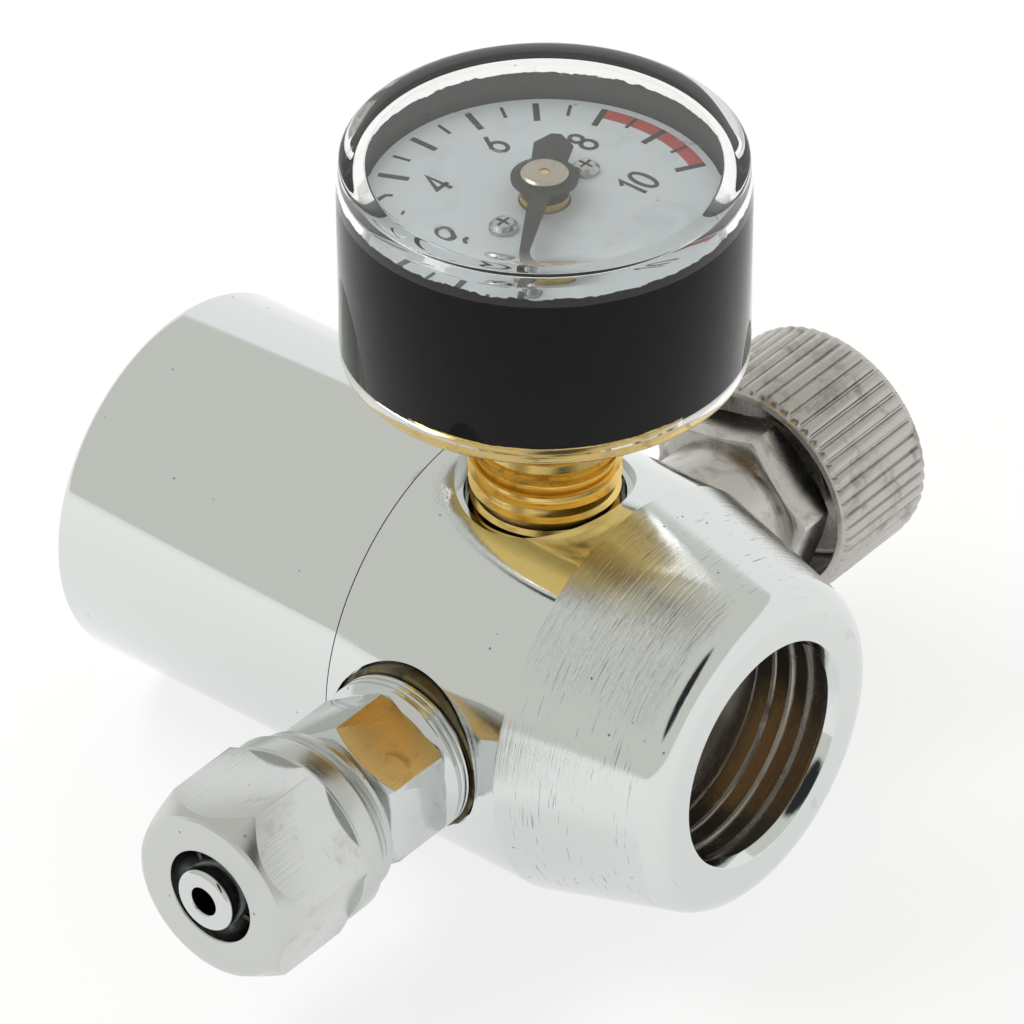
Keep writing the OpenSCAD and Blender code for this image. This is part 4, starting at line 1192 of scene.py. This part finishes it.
# %% Dial print: red stretch
RED_IN, RED_OUT, RED_STEPS = 9.35, 10.3, 60
red_from, red_to, red_z = first + 8 * step, first + 10 * step, ink_z - ink_t / 2
work = bmesh.new()
rings = []
for k in range(RED_STEPS + 1):
    a = red_from + (red_to - red_from) * k / RED_STEPS
    rings.append([work.verts.new((r * math.cos(a), r * math.sin(a), red_z + z)) for r, z in
                  ((RED_IN, 0), (RED_OUT, 0), (RED_OUT, -ink_t), (RED_IN, -ink_t))])
strip(work, rings)
red = painted(as_object("red_stretch", work), ink_red)

# %% [markdown]
# Each numeral is a path on a small grid, one unit wide and two units tall, drawn with a pen of
# fixed width. The pen is a flat ribbon with mitred turns and square ends. The tens numeral is a one
# and a zero.

# %% Dial print: numerals


def bow(cx, cy, rx, ry, start, stop, steps=14):
    """Points on an ellipse, angles in degrees."""
    return [(cx + rx * math.cos(math.radians(start + (stop - start) * k / steps)),
             cy + ry * math.sin(math.radians(start + (stop - start) * k / steps)))
            for k in range(steps + 1)]


GLYPHS = {
    "0": [bow(0.5, 1, 0.42, 0.92, 90, 450, 32)],
    "1": [[(0.28, 1.55), (0.62, 1.92), (0.62, 0.08)]],
    "2": [bow(0.5, 1.45, 0.4, 0.47, 165, -35) + [(0.1, 0.08), (0.92, 0.08)]],
    "4": [[(0.7, 0.08), (0.7, 1.92), (0.06, 0.62), (0.98, 0.62)]],
    "6": [[(0.78, 1.88)] + bow(0.52, 0.62, 0.42, 0.54, 125, 485, 26)],
    "8": [bow(0.5, 1.48, 0.34, 0.42, -90, 270, 24), bow(0.5, 0.56, 0.41, 0.48, 90, 450, 26)],
}


def ribbon(work, path, width):
    """A flat ribbon along a path: one thin closed strip with square joints at each point."""
    points = [Vector(p) for p in path]
    rings = []
    for i, here in enumerate(points):
        before = (here - points[i - 1]).normalized() if i else None
        after = (points[i + 1] - here).normalized() if i + 1 < len(points) else None
        ahead = ((before or after) + (after or before)).normalized()
        side = Vector((-ahead.y, ahead.x))
        grown = 1 / max(0.5, side.dot(Vector((-(after or before).y, (after or before).x))))
        a, b = here + side * width / 2 * grown, here - side * width / 2 * grown
        rings.append([work.verts.new((*p, z)) for p, z in
                      ((a, ink_t), (b, ink_t), (b, 0), (a, 0))])
    strip(work, rings)


def numeral(text, unit, center_r, aside=0.0):
    """A number that stands at its unit's angle, its top towards -X."""
    angle = first + unit * step - math.radians(aside)
    work = bmesh.new()
    wide, tall, pen, narrowed = 1.25, 2.1, 0.28, 0.86
    for i, digit in enumerate(text):
        for path in GLYPHS[digit]:
            offset = (i - len(text) / 2) * wide * (narrowed if len(text) > 1 else 1)
            ribbon(work, [(offset + x * wide * narrowed, (y - 1) * tall / 2) for x, y in path],
                   pen)
    work.transform(Matrix.Translation((center_r * math.cos(angle), center_r * math.sin(angle),
                                       ink_z)) @ Matrix.Rotation(math.radians(90), 4, "Z"))
    return painted(as_object("numeral_" + text, work), ink_black)


numerals = [numeral(text, unit, radius, aside) for text, unit, radius, aside in
            (("0", 0, 7.3, 14), ("2", 2, 6.6, 0), ("4", 4, 6.6, 0), ("6", 6, 6.6, 0),
             ("8", 8, 6.6, 0), ("10", 10, 5.8, 5))]
dial_print = joined(long_ticks, short_ticks, red, *numerals)
dial_print.name = "dial_print"
hand_over(dial_print, "housing")

# %% [markdown]
# ## Everything else
# The pieces inside keep the CAD model's exact shape and only get a finish. Each listed node gets
# one finish on all of its material slots; a few that can be seen through the gauge's window have
# one of their own.

# %% Finishes for the remaining nodes
FINISHES = (
    (rubber, "gauge_gasket inlet_gasket piston_o_ring stem_o_ring"),
    (nylon, "poppet_seal valve_seat"),
    (brass, "spring_seat piston poppet valve_retainer low_movement_plate top_movement_plate "
            "movement_pillars bourdon_tip sector_gear tip_link pinion"),
    (bronze, "inlet_filter bourdon_tube hairspring"),
    (steel_x, "push_pin main_spring poppet_spring needle_stem dial_screws stop_pin "
              "movement_screws"),
    (dial_white, "dial_plate"), (needle_grey, "pointer"), (hub_metal, "pointer_cap"),
)
for finish, names in FINISHES:
    for name in names.split():
        piece = nodes[name]
        for part in [piece, *piece.children_recursive]:
            if part.type == "MESH":
                for slot in part.material_slots:
                    slot.material = finish
    print(finish.name, "on", names)
